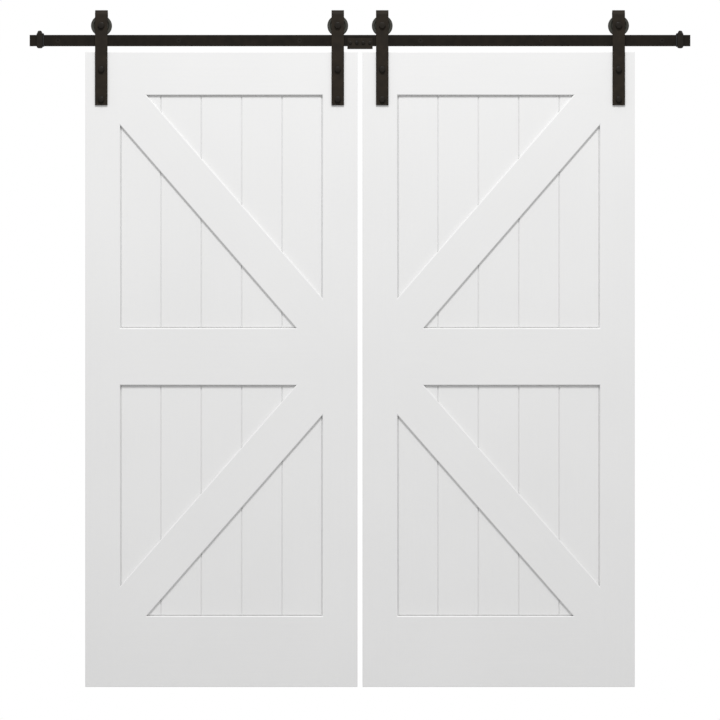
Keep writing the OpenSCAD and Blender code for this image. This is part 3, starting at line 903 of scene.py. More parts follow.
@dataclass(frozen=True)
class Box:
    """The box of a CAD node."""

    low: np.ndarray
    high: np.ndarray

    @classmethod
    def of(cls, node: str) -> "Box":
        """Reads the box of a node from the frame."""
        low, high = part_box(node)
        return cls(np.array(low), np.array(high))

    def mirrored(self) -> "Box":
        """Mirrors the box.

        Returns:
            The same box on the other side of X = 0.
        """
        keep, flip = np.array([0, 1, 1]), np.array([1, 0, 0])
        return Box(self.low * keep - self.high * flip, self.high * keep - self.low * flip)

    @property
    def middle(self) -> np.ndarray:
        """The middle of the box."""
        return (self.low + self.high) / 2

    @property
    def size(self) -> np.ndarray:
        """The lengths of its sides."""
        return self.high - self.low


class Hand(Enum):
    """The two halves of the door, with what X is multiplied by."""

    LEFT = -1
    RIGHT = 1

    @property
    def word(self) -> str:
        """The word that its nodes start with."""
        return self.name.lower()

    def box(self, node: str) -> Box:
        """Gives the box of this half's node, as if it were on the right."""
        box = Box.of(f"{self.word}_{node}")
        return box if self is Hand.RIGHT else box.mirrored()

    def bolt_heights(self) -> tuple[float, float]:
        """Works out the strap bolts' heights, a washer's radius inside the box of the washers.

        Returns:
            Height of the lower and of the upper bolt.
        """
        washers = self.box("strap_washers")
        return washers.low[2] + WASHER_RADIUS, washers.high[2] - WASHER_RADIUS

    def finished(self, node: str, body: str, shape: Shape, finish: Finish,
                 tools: Sequence[Shape] = ()) -> bpy.types.Object:
        """Finishes a piece that was worked out for the right, on this half.

        Args:
            node: The CAD node, without its first word.
            body: The body, whole.
            shape: The piece's surface, on the right.
            finish: The piece's finish.
            tools: What is cut out of it, on the right.
        Returns:
            The piece.
        """
        return finished(f"{self.word}_{node}", body, shape.scaled(self.value), finish,
                        [tool.scaled(self.value) for tool in tools])


class Place(Enum):
    """The two hangers of a leaf."""

    OUTER = "outer"
    INNER = "inner"


# ---------------------------------------------------------------- leaf


class Edge(Enum):
    """How one side of a board meets what is next to it."""

    JOINT = "flush with the next board"
    FIELD = "bevelled towards a sunk field"
    OUTER = "eased, on the outside of the leaf"


@dataclass(frozen=True)
class Side:
    """One straight side of a board: the points p in X and Z where normal . p = reach. The board
    lies behind it. At the level of the panels it steps in by groove or out by tenon."""

    normal: tuple[float, float]
    reach: float
    edge: Edge = Edge.JOINT
    groove: float = 0.0
    tenon: float = 0.0

    @classmethod
    def through(cls, point: tuple[float, float], normal: tuple[float, float], edge: Edge) -> "Side":
        """Gives the side through a point."""
        return cls(normal, point[0] * normal[0] + point[1] * normal[1], edge)


@dataclass(frozen=True)
class SunkField:
    """One sunk triangle of a leaf: its sides at the stile, at the rail and at the brace."""

    stile: Side
    rail: Side
    brace: Side

    @property
    def upwards(self) -> list[Side]:
        """The sides in the order in which an outline of the stile meets them on its way up."""
        sides = [self.rail, self.stile, self.brace]
        return sides if self.rail.normal[1] > 0 else sides[::-1]

    @property
    def downwards(self) -> list[Side]:
        """The sides in the order in which an outline of the stile meets them on its way down."""
        return self.upwards[::-1]

    def groove(self, width: float, depth: float, face: float, into: float, over: float = 1 * MM,
               steep_share: float = 0.2, run_on: float = 0.02) -> Shape:
        """Makes the tool for a scribed line where the panel meets the stile and the rail.

        Its section is a triangle, steep beside the boards and sloping up to the panel, and each of
        its corners follows the field's outline, moved inwards by its own distance. Both ends run
        on under the brace.

        Args:
            width: Width of the line.
            depth: Depth of the line.
            face: Y of the panel's face.
            into: 1 where the panel lies behind its face, -1 where it lies in front.
            over: How far the tool stands out of the panel's face.
            steep_share: Share of the width that the steep side takes.
            run_on: How far each end runs on, as a share of the line's straight part.
        Returns:
            The tool.
        """
        sides = (self.brace, self.stile, self.rail)
        outline = corners(np.array([s.normal for s in sides]), np.array([s.reach for s in sides]))
        ahead = np.roll(outline, -1, axis=0)
        if (outline[:, 0] * ahead[:, 1] - outline[:, 1] * ahead[:, 0]).sum() < 0:
            outline = outline[::-1]
        steep = steep_share * width
        rise = (width - steep) / depth
        away = np.array([-over, width + rise * over, steep])
        y = face + into * np.array([-over, -over, depth])
        path = inset(outline, away).transpose(1, 0, 2)
        run = run_on * (path[[0, 2]] - path[1])
        path = np.stack([path[0] + run[0], path[1], path[2] + run[1]])
        return Shape.skin(stood(path, y), Ends.CAPPED)


@dataclass(frozen=True)
class Depths:
    """What the sides of a board do at each depth: the depth, how far a side towards a field and an
    outer side step in, and the shares of the groove and of the tenon that are there."""

    y: np.ndarray
    field: np.ndarray
    outer: np.ndarray
    groove: np.ndarray
    tenon: np.ndarray


def corners(normal: np.ndarray, a: np.ndarray) -> np.ndarray:
    """Finds the corners between neighbouring sides.

    Sides with normals m and n, at reaches a and b, cross at
    (a n_z - b m_z, b m_x - a n_x) / (m_x n_z - m_z n_x).

    Args:
        normal: Normal of each side, of shape (sides, 2).
        a: Reach of each side, of shape (..., sides).
    Returns:
        Corners, of shape (..., sides, 2), each after its side.
    """
    m, n, b = normal, np.roll(normal, -1, axis=0), np.roll(a, -1, axis=-1)
    det = m[:, 0] * n[:, 1] - m[:, 1] * n[:, 0]
    return np.stack([(a * n[:, 1] - b * m[:, 1]) / det, (b * m[:, 0] - a * n[:, 0]) / det], axis=-1)


def board(sides: Sequence[Side], depths: Depths) -> Shape:
    """Makes a board whose sides step in and out with depth.

    Args:
        sides: The sides of the outline, counterclockwise.
        depths: The steps at each depth.
    Returns:
        The board.
    """
    normal = np.array([s.normal for s in sides])
    reach = np.array([s.reach for s in sides])
    reach = reach - np.outer(depths.field, [s.edge is Edge.FIELD for s in sides])
    reach = reach - np.outer(depths.outer, [s.edge is Edge.OUTER for s in sides])
    reach = reach - np.outer(depths.groove, [s.groove for s in sides])
    reach = reach + np.outer(depths.tenon, [s.tenon for s in sides])
    return Shape.skin(stood(corners(normal, reach), depths.y[:, None]), Ends.CAPPED)


@dataclass
class Leaf:
    """One leaf: stiles, rails and grooved panels, with a brace on each face of each panel."""

    hand: Hand
    recess: float = 9 * MM
    bevel: float = 3 * MM
    bevel_power: float = 1.5
    bevel_steps: int = 7
    ease: float = 1.5 * MM
    brace_width: float = 133 * MM
    tongue: float = 12 * MM
    tongue_play: float = 0.5 * MM
    tongue_fit: float = 0.1 * MM
    planks: int = 5
    vee_width: float = 5 * MM
    vee_depth: float = 4 * MM
    vee_softness: float = 0.06
    vee_reach: float = 1.55
    vee_margin: float = 1.9
    vee_steps: int = 23
    scribe_width: float = 4.5 * MM
    scribe_depth: float = 4 * MM
    bolt_radius: float = 5.25 * MM
    counterbore_radius: float = 13 * MM
    counterbore_depth: float = 11 * MM

    def __post_init__(self) -> None:
        """Takes the places of the boards from the frame."""
        inner, outer = self.hand.box("inner_stile"), self.hand.box("outer_stile")
        top, middle, bottom = (self.hand.box(f"{row}_rail") for row in ("top", "middle", "bottom"))
        self.front, self.back = inner.low[1], inner.high[1]
        self.inner_x, self.outer_x = inner.low[0], outer.high[0]
        self.field_in, self.field_out = inner.high[0], outer.low[0]
        self.bottom, self.top = inner.low[2], inner.high[2]
        self.upper = (middle.high[2], top.low[2])
        self.lower = (bottom.high[2], middle.low[2])
        self.body = f"{self.hand.word}_leaf"
        self.upper_inner = self.sunk_field(self.upper, at_outer=False, rail_above=True)
        self.upper_outer = self.sunk_field(self.upper, at_outer=True, rail_above=False)
        self.lower_inner = self.sunk_field(self.lower, at_outer=False, rail_above=False)
        self.lower_outer = self.sunk_field(self.lower, at_outer=True, rail_above=True)

    def sunk_field(self, opening: tuple[float, float], at_outer: bool, rail_above: bool) -> SunkField:
        """Works out the sides of a sunk triangle. Its brace runs along the opening's diagonal, half
        a brace's width away from it.

        Args:
            opening: Lowest and highest Z of the opening.
            at_outer: Whether it lies at the outer stile.
            rail_above: Whether its rail is above it.
        Returns:
            The field.
        """
        bottom, top = opening
        width, height = self.field_out - self.field_in, top - bottom
        angle = math.atan2(height, width)
        from_stile = self.brace_width / 2 / math.sin(angle)
        stile_x, away = (self.field_out, -1) if at_outer else (self.field_in, 1)
        rail_z, up = (top, 1) if rail_above else (bottom, -1)
        tip = (self.field_out if not at_outer else self.field_in, rail_z)
        start = (tip[0] - away * from_stile, rail_z)
        toward_field = (-away * math.sin(angle), up * math.cos(angle))
        return SunkField(
            stile=Side((away, 0), away * stile_x, Edge.FIELD, groove=self.tongue),
            rail=Side((0, -up), -up * rail_z, Edge.FIELD, groove=self.tongue),
            brace=Side.through(start, toward_field, Edge.FIELD),
        )

    def face(self) -> tuple[np.ndarray, np.ndarray, np.ndarray]:
        """Works out the edges at one face of a board.

        A side towards a field follows (1 - s)^p + (1 - d)^p = 1, where s is its step and d its
        depth, as shares of the bevel, and the power p is between a chamfer's 1 and a quarter
        round's 2. An outer side is a quarter round: s = e - sqrt(e^2 - (e - d)^2). One more depth
        past the bevel keeps the sides below it flat.

        Returns:
            Depths below the face, and the steps of both kinds of side.
        """
        turn = np.linspace(math.pi / 2, 0, self.bevel_steps)
        depth = self.bevel * (1 - np.sin(turn) ** (2 / self.bevel_power))
        field_step = self.bevel * (1 - np.cos(turn) ** (2 / self.bevel_power))
        left = self.ease - np.minimum(depth, self.ease)
        outer_step = self.ease - np.sqrt(self.ease ** 2 - left ** 2)
        return np.r_[depth, self.bevel * 1.1], np.r_[field_step, 0], np.r_[outer_step, 0]

    def through_depths(self) -> Depths:
        """Works out the depths of a board that is as thick as the leaf.

        Returns:
            The depths.
        """
        depth, field_step, outer_step = self.face()
        face = self.front + self.recess
        lip = face - self.tongue_fit
        y = np.r_[self.front + depth, lip, lip, face, face]
        rest = np.zeros(4)
        groove = np.r_[np.zeros(len(depth)), 0, 1, 1, 1]
        tenon = np.r_[np.zeros(len(depth)), 0, 0, 0, 1]

        def both(half: np.ndarray) -> np.ndarray:
            """Repeats what the front half does, in reverse."""
            return np.r_[half, half[::-1]]

        return Depths(np.r_[y, (self.front + self.back - y)[::-1]], both(np.r_[field_step, rest]),
                      both(np.r_[outer_step, rest]), both(groove), both(tenon))

    def brace_depths(self, at_front: bool) -> Depths:
        """Gives the depths of a brace, which lies on one face of a panel.

        Args:
            at_front: Whether it is on the front.
        Returns:
            The depths.
        """
        depth, field_step, _ = self.face()
        below = np.r_[depth, self.recess]
        y = self.front + below if at_front else self.back - below
        none = np.zeros(len(y))
        return Depths(y, np.r_[field_step, 0], none, none, none)

    def joint(self, x: float | None = None, z: float | None = None, sign: int = 1,
              edge: Edge = Edge.JOINT, **steps: float) -> Side:
        """Gives an upright side at x, or a level side at z.

        Args:
            x: Place of an upright side, or None for a level one.
            z: Height of a level side.
            sign: 1 where it faces right or up, -1 where it faces left or down.
            edge: How it meets what is next to it.
            **steps: Its groove or its tenon.
        Returns:
            The side.
        """
        if x is not None:
            return Side((sign, 0), sign * x, edge, **steps)
        return Side((0, sign), sign * z, edge, **steps)

    def stile(self, place: Place) -> list[Side]:
        """Gives the outline of a stile, with the notches of the fields beside it.

        Args:
            place: Which stile.
        Returns:
            Its sides.
        """
        foot = self.joint(z=self.bottom, sign=-1, edge=Edge.OUTER)
        head = self.joint(z=self.top, edge=Edge.OUTER)
        if place is Place.INNER:
            inside = self.joint(x=self.field_in, groove=self.tongue)
            return [foot, inside, *self.lower_inner.upwards, inside, *self.upper_inner.upwards, inside,
                    head, self.joint(x=self.inner_x, sign=-1, edge=Edge.OUTER)]
        inside = self.joint(x=self.field_out, sign=-1, groove=self.tongue)
        return [foot, self.joint(x=self.outer_x, edge=Edge.OUTER), head, inside,
                *self.upper_outer.downwards, inside, *self.lower_outer.downwards, inside]

    def rails(self) -> dict[str, list[Side]]:
        """Gives the outline of each rail, with a tenon at both ends.

        Returns:
            The sides of each rail, by the rail's name.
        """
        tenon, groove = self.tongue - self.tongue_play, self.tongue
        left = self.joint(x=self.field_in, sign=-1, tenon=tenon)
        right = self.joint(x=self.field_out, tenon=tenon)
        return {
            "top_rail": [
                left, self.upper_inner.rail, self.upper_inner.brace,
                self.joint(z=self.upper[1], sign=-1, groove=groove), right,
                self.joint(z=self.top, edge=Edge.OUTER)],
            "middle_rail": [
                left, self.joint(z=self.lower[1], sign=-1, groove=groove), self.lower_outer.brace,
                self.lower_outer.rail, right, self.upper_outer.rail, self.upper_outer.brace,
                self.joint(z=self.upper[0], groove=groove)],
            "bottom_rail": [
                left, self.joint(z=self.bottom, sign=-1, edge=Edge.OUTER), right,
                self.joint(z=self.lower[0], groove=groove), self.lower_inner.brace,
                self.lower_inner.rail],
        }

    def braces(self) -> dict[str, list[Side]]:
        """Gives the outline of the upper and of the lower brace.

        Returns:
            The sides of each brace, by its level.
        """
        left, right = self.joint(x=self.field_in, sign=-1), self.joint(x=self.field_out)
        return {
            "upper": [left, self.joint(z=self.upper[0], sign=-1), self.upper_outer.brace, right,
                      self.joint(z=self.upper[1]), self.upper_inner.brace],
            "lower": [left, self.lower_inner.brace, self.joint(z=self.lower[0], sign=-1), right,
                      self.lower_outer.brace, self.joint(z=self.lower[1])],
        }

    def panel(self, opening: tuple[float, float]) -> Shape:
        """Makes a panel: a profile with V grooves on both faces, carried upwards.

        At u half-widths from the middle of a groove, its depth is that of the groove times
        (f + sqrt(f^2 + k^2)) / 2, where f = 1 - sqrt(u^2 + k^2) and k softens the corners. One
        more place at each margin, of no depth, keeps the planks between the grooves flat.

        Args:
            opening: Lowest and highest Z of the opening.
        Returns:
            The panel, with its tongues.
        """
        tongue = self.tongue - self.tongue_play
        half = (self.back - self.front) / 2 - self.recess
        centre = (self.front + self.back) / 2
        k = self.vee_softness
        near = np.linspace(-self.vee_reach, self.vee_reach, self.vee_steps)
        u = np.r_[-self.vee_margin, near, self.vee_margin]
        f = 1 - np.sqrt(u ** 2 + k ** 2)
        depth = self.vee_depth * (f + np.sqrt(f ** 2 + k ** 2)) / 2
        depth[[0, -1]] = 0
        pitch = (self.field_out - self.field_in) / self.planks
        vees = self.field_in + pitch * np.arange(1, self.planks)
        x = (vees[:, None] + u * self.vee_width / 2).ravel()
        x = np.r_[self.field_in - tongue, x, self.field_out + tongue]
        sunk = np.r_[0, np.tile(depth, len(vees)), 0]
        ring = np.column_stack([np.r_[x, x[::-1]],
                                np.r_[centre - half + sunk, (centre + half - sunk)[::-1]]])
        z = np.array([opening[0] - tongue, opening[1] + tongue])
        rings = np.concatenate([np.broadcast_to(ring, (2, *ring.shape)),
                                np.broadcast_to(z[:, None, None], (2, len(ring), 1))], axis=-1)
        return Shape.skin(rings, Ends.CAPPED)

    def bolt_holes(self, place: Place) -> list[Shape]:
        """Makes the tools for the strap bolts' holes, each with a counterbore at the back.

        Args:
            place: Which hanger.
        Returns:
            One tool for each hole.
        """
        x = self.hand.box(f"{place.value}_strap").middle[0]
        seat = self.back - self.front - self.counterbore_depth
        end = self.back - self.front + OVER
        rings: list[Ring] = [
            (0, -OVER), (self.bolt_radius, -OVER), (self.bolt_radius, seat),
            (self.counterbore_radius, seat), (self.counterbore_radius, end), (0, end),
        ]
        return [lathe(rings, (x, self.front, z), Ends.POLES) for z in self.hand.bolt_heights()]

    def build(self) -> None:
        """Makes and paints every board of the leaf."""
        through = self.through_depths()
        for place in Place:
            self.hand.finished(f"{place.value}_stile", self.body, board(self.stile(place), through),
                               SatinPaint(Lay.UPRIGHT), self.bolt_holes(place))
        for name, sides in self.rails().items():
            self.hand.finished(name, self.body, board(sides, through), SatinPaint(Lay.LEVEL))
        faces = ((self.front + self.recess, 1), (self.back - self.recess, -1))
        for name, opening, fields in (
            ("upper_panel", self.upper, (self.upper_inner, self.upper_outer)),
            ("lower_panel", self.lower, (self.lower_inner, self.lower_outer)),
        ):
            grooves = [field.groove(self.scribe_width, self.scribe_depth, face, into)
                       for field in fields for face, into in faces]
            self.hand.finished(name, self.body, self.panel(opening), SatinPaint(Lay.UPRIGHT), grooves)
        for level, sides in self.braces().items():
            rises = (level == "upper") == (self.hand is Hand.RIGHT)
            for side in ("front", "back"):
                self.hand.finished(f"{level}_{side}_brace", self.body,
                                   board(sides, self.brace_depths(side == "front")),
                                   SatinPaint(Lay.RISING if rises else Lay.FALLING))


# ---------------------------------------------------------------- hangers


@dataclass
class Strap:
    """A flat strap, bent over its wheel, with a short leg behind the track."""

    hand: Hand
    place: Place
    thickness: float = 6 * MM
    corner: float = 1.0 * MM
    axle_hole: float = 6.2 * MM
    bolt_hole: float = 5.2 * MM
    bend_steps: int = 33
    margin: float = 2 * MM

    def __post_init__(self) -> None:
        """Takes the strap's place from the frame."""
        self.box = self.hand.box(f"{self.place.value}_strap")

    def shape(self, axle_z: float) -> Shape:
        """Carries the strap's section along the bend.

        At s along the path and r its radius, the angle of the bend is a = (s - leg) / r, kept from 0
        to 180 degrees: y = middle - r cos a, z = bend + r sin a + min(s - leg, 0)
        - max(s - leg - pi r, 0). One more place on each leg, a margin away from the bend, keeps
        the legs flat.

        Args:
            axle_z: Height of the axle, where the short leg is centred.
        Returns:
            The strap.
        """
        width, middle = self.box.size[0], self.box.middle
        r = self.box.size[1] / 2 - self.thickness / 2
        bend = self.box.high[2] - self.box.size[1] / 2
        leg, short = bend - self.box.low[2], bend - (axle_z - width / 2)
        arc = math.pi * r
        places, shrunk = eased(leg + arc + short, self.corner)
        bending = np.linspace(leg, leg + arc, self.bend_steps)
        half = len(places) // 2
        s = np.r_[places[:half], leg - self.margin, bending, leg + arc + self.margin, places[half:]]
        shrunk = np.r_[shrunk[:half], np.zeros(len(bending) + 2), shrunk[half:]]
        a = np.clip((s - leg) / r, 0, math.pi)
        y = middle[1] - r * np.cos(a)
        z = bend + r * np.sin(a) + np.minimum(s - leg, 0) - np.maximum(s - leg - arc, 0)
        centres = np.column_stack([np.full(len(s), middle[0]), y, z])
        outwards = np.column_stack([np.zeros(len(s)), -np.cos(a), np.sin(a)])
        section = softened(rectangle(width, self.thickness), self.corner)
        return swept(section, centres, np.array([1, 0, 0]), outwards, shrunk)

    def tools(self, axle_z: float) -> list[Shape]:
        """Makes the tools for the axle's hole, through both legs, and for the two bolt holes.

        Args:
            axle_z: Height of the axle.
        Returns:
            The tools.
        """
        holes = [(axle_z, self.axle_hole, self.box.size[1])]
        holes += [(z, self.bolt_hole, self.thickness) for z in self.hand.bolt_heights()]
        return [drill(r, (self.box.middle[0], self.box.low[1] - OVER, z), depth + 2 * OVER)
                for z, r, depth in holes]


@dataclass
class Wheel:
    """A grooved wheel with a dished web, and the sealed bearing in its hub."""

    hand: Hand
    place: Place
    flange: float = 4.5 * MM
    tread_half: float = 3.6 * MM
    flare: float = 1.2 * MM
    rim_edge: float = 1.0 * MM
    bearing_radius: float = 14 * MM
    bearing_half: float = 4 * MM
    bore: float = 6.05 * MM
    seat_play: float = 0.02 * MM
    hub_wall: float = 4 * MM
    rim_wall: float = 4 * MM
    shoulder: float = 2.5 * MM
    dish: float = 3 * MM
    softness: float = 1.1 * MM
    around: int = 96
    shield_depth: float = 0.5 * MM
    ring_share: float = 0.27
    ring_softness: float = 0.25 * MM
    edge_wear: float = 0.42
    edge_wear_start: float = 0.6 * MM
    edge_wear_fade: float = 0.5 * MM

    def __post_init__(self) -> None:
        """Takes the wheel's place and size from the frame."""
        box = self.hand.box(f"{self.place.value}_wheel")
        self.centre = box.middle
        self.radius = box.size[2] / 2
        self.half = box.size[1] / 2
        self.tread = self.radius - self.flange

    def rim(self) -> Shape:
        """Turns the wheel's outline: shoulder, dished front, flanges and tread, dished back, seat.

        Returns:
            The wheel.
        """
        hub, web = self.bearing_radius + self.hub_wall, self.tread - self.rim_wall
        seat = self.bearing_radius + self.seat_play
        lip, edge, dish, half = self.tread_half + self.flare, self.rim_edge, self.dish, self.half
        inner = self.bearing_radius - self.shoulder
        outline = [
            (inner, -half), (hub, -half), (hub + dish, dish - half), (web - dish, dish - half),
            (web, -half), (self.radius - edge, -half), (self.radius, edge - half),
            (self.radius, -lip), (self.tread, -self.tread_half), (self.tread, self.tread_half),
            (self.radius, lip), (self.radius, half - edge), (self.radius - edge, half), (web, half),
            (web - dish, half - dish), (hub + dish, half - dish), (hub, half), (seat, half),
            (seat, -self.bearing_half), (inner, -self.bearing_half),
        ]
        return turned(outline, self.centre, self.softness, self.around)

    def bearing(self) -> Shape:
        """Turns the bearing's outline: two rings, with shields sunk between them.

        Returns:
            The bearing.
        """
        half, sunk = self.bearing_half, self.shield_depth
        ring = (self.bearing_radius - self.bore) * self.ring_share
        inner, outer = self.bore + ring, self.bearing_radius - ring
        outline = [
            (self.bore, -half), (inner, -half), (inner, sunk - half), (outer, sunk - half),
            (outer, -half), (self.bearing_radius, -half), (self.bearing_radius, half), (outer, half),
            (outer, half - sunk), (inner, half - sunk), (inner, half), (self.bore, half),
        ]
        return turned(outline, self.centre, self.ring_softness)

    def wear_in(self, piece: bpy.types.Object) -> None:
        """Writes the wear to the mesh: 1 in the groove, less along the rims' edges, 0 elsewhere.

        Args:
            piece: The wheel.
        """
        count = len(piece.data.vertices)
        places = np.empty(count * 3, np.float32)
        piece.data.vertices.foreach_get("co", places)
        offset = places.reshape(-1, 3) - self.centre * [self.hand.value, 1, 1]
        r, depth = np.hypot(offset[:, 0], offset[:, 2]), np.abs(offset[:, 1])
        groove = np.clip((self.tread_half + self.flare - depth) / MM, 0, 1) * (r > self.tread - MM)
        edges = self.edge_wear * np.clip((r - self.radius + self.edge_wear_start)
                                         / self.edge_wear_fade, 0, 1)
        wear = piece.data.attributes.new("wear", "FLOAT", "POINT")
        wear.data.foreach_set("value", np.maximum(groove, edges).astype(np.float32))

    def build(self) -> None:
        """Makes the wheel and its bearing."""
        body = f"{self.hand.word}_{self.place.value}_wheel_set"
        self.wear_in(self.hand.finished(f"{self.place.value}_wheel", body, self.rim(), WornCoat()))
        self.hand.finished(f"{self.place.value}_bearing", body, self.bearing(), ZINC)


@dataclass
class Hangers:
    """The straps, wheels and fasteners of one leaf."""

    hand: Hand
    axle: HexBolt = HexBolt(12 * MM, 19 * MM, 1.75 * MM)
    strap_bolt: HexBolt = HexBolt(10 * MM, 17 * MM, 1.5 * MM)
    thin_nut: float = 6 * MM
    full_nut: float = 8 * MM
    proud: float = 1 * MM
    axle_thread: float = 9 * MM
    strap_bolt_thread: float = 22 * MM
    washer_thickness: float = 2 * MM
    washer_bore: float = 5.2 * MM
    washer_softness: float = 0.35 * MM
    spacer_radius: float = 8.5 * MM
    spacer_bore: float = 6.1 * MM
    spacer_play: float = 0.1 * MM
    spacer_softness: float = 0.4 * MM
    around: int = 48

    def __post_init__(self) -> None:
        """Takes the hangers' places from the frame."""
        self.body = f"{self.hand.word}_leaf"
        straps = [self.hand.box(f"{place.value}_strap") for place in Place]
        self.xs = [box.middle[0] for box in straps]
        self.front, self.back = straps[0].low[1], straps[0].high[1]
        self.axle_z = self.hand.box("outer_wheel").middle[2]
        washers = self.hand.box("strap_washers")
        self.washer_front = washers.low[1]
        self.washer_back = washers.high[1] - self.washer_thickness

    def washer(self, x: float, y: float, z: float) -> Shape:
        """Turns a flat washer with soft edges.

        Args:
            x: Place of its middle along the track.
            y: Place of its front.
            z: Height of its middle.
        Returns:
            The washer.
        """
        r, bore, t = WASHER_RADIUS, self.washer_bore, self.washer_thickness
        outline = [(bore, 0), (r, 0), (r, t), (bore, t)]
        return turned(outline, (x, y, z), self.washer_softness, self.around)

    def spacers(self) -> list[Shape]:
        """Turns the four spacers that hold the bearings in the middle of their forks.

        Returns:
            The spacers.
        """
        box = self.hand.box("axle_spacers")
        bearing = self.hand.box("outer_bearing")
        length = bearing.low[1] - box.low[1] - self.spacer_play
        r, bore = self.spacer_radius, self.spacer_bore
        outline = [(bore, 0), (r, 0), (r, length), (bore, length)]
        return [turned(outline, (x, y, self.axle_z), self.spacer_softness, self.around)
                for x in self.xs for y in (box.low[1], box.high[1] - length)]

    def build(self) -> None:
        """Makes and finishes every part of the leaf's hangers."""
        for place in Place:
            strap = Strap(self.hand, place)
            self.hand.finished(f"{place.value}_strap", self.body, strap.shape(self.axle_z), STRAP_COAT,
                               strap.tools(self.axle_z))
            Wheel(self.hand, place).build()
        axle_length = self.back + self.thin_nut + self.proud - self.front
        axles = [self.axle.shape((x, self.front, self.axle_z), axle_length, self.axle_thread)
                 for x in self.xs]
        nuts = [self.axle.nut((x, self.back, self.axle_z), self.thin_nut) for x in self.xs]
        spots = [(x, z) for x in self.xs for z in self.hand.bolt_heights()]
        seat = self.washer_back + self.washer_thickness
        length = self.hand.box("strap_bolts").high[1] - self.washer_front
        bolts = [self.strap_bolt.shape((x, self.washer_front, z), length, self.strap_bolt_thread)
                 for x, z in spots]
        washers = [self.washer(x, y, z)
                   for x, z in spots for y in (self.washer_front, self.washer_back)]
        strap_nuts = [self.strap_bolt.nut((x, seat, z), self.full_nut) for x, z in spots]
        for node, shapes, finish in (
            ("axle_bolts", axles, BOLT_COAT), ("axle_nuts", nuts, BOLT_COAT),
            ("axle_spacers", self.spacers(), ZINC), ("strap_bolts", bolts, BOLT_COAT),
            ("strap_washers", washers, BOLT_COAT), ("strap_nuts", strap_nuts, ZINC),
        ):
            self.hand.finished(node, self.body, Shape.joined(shapes), finish)


# ---------------------------------------------------------------- track


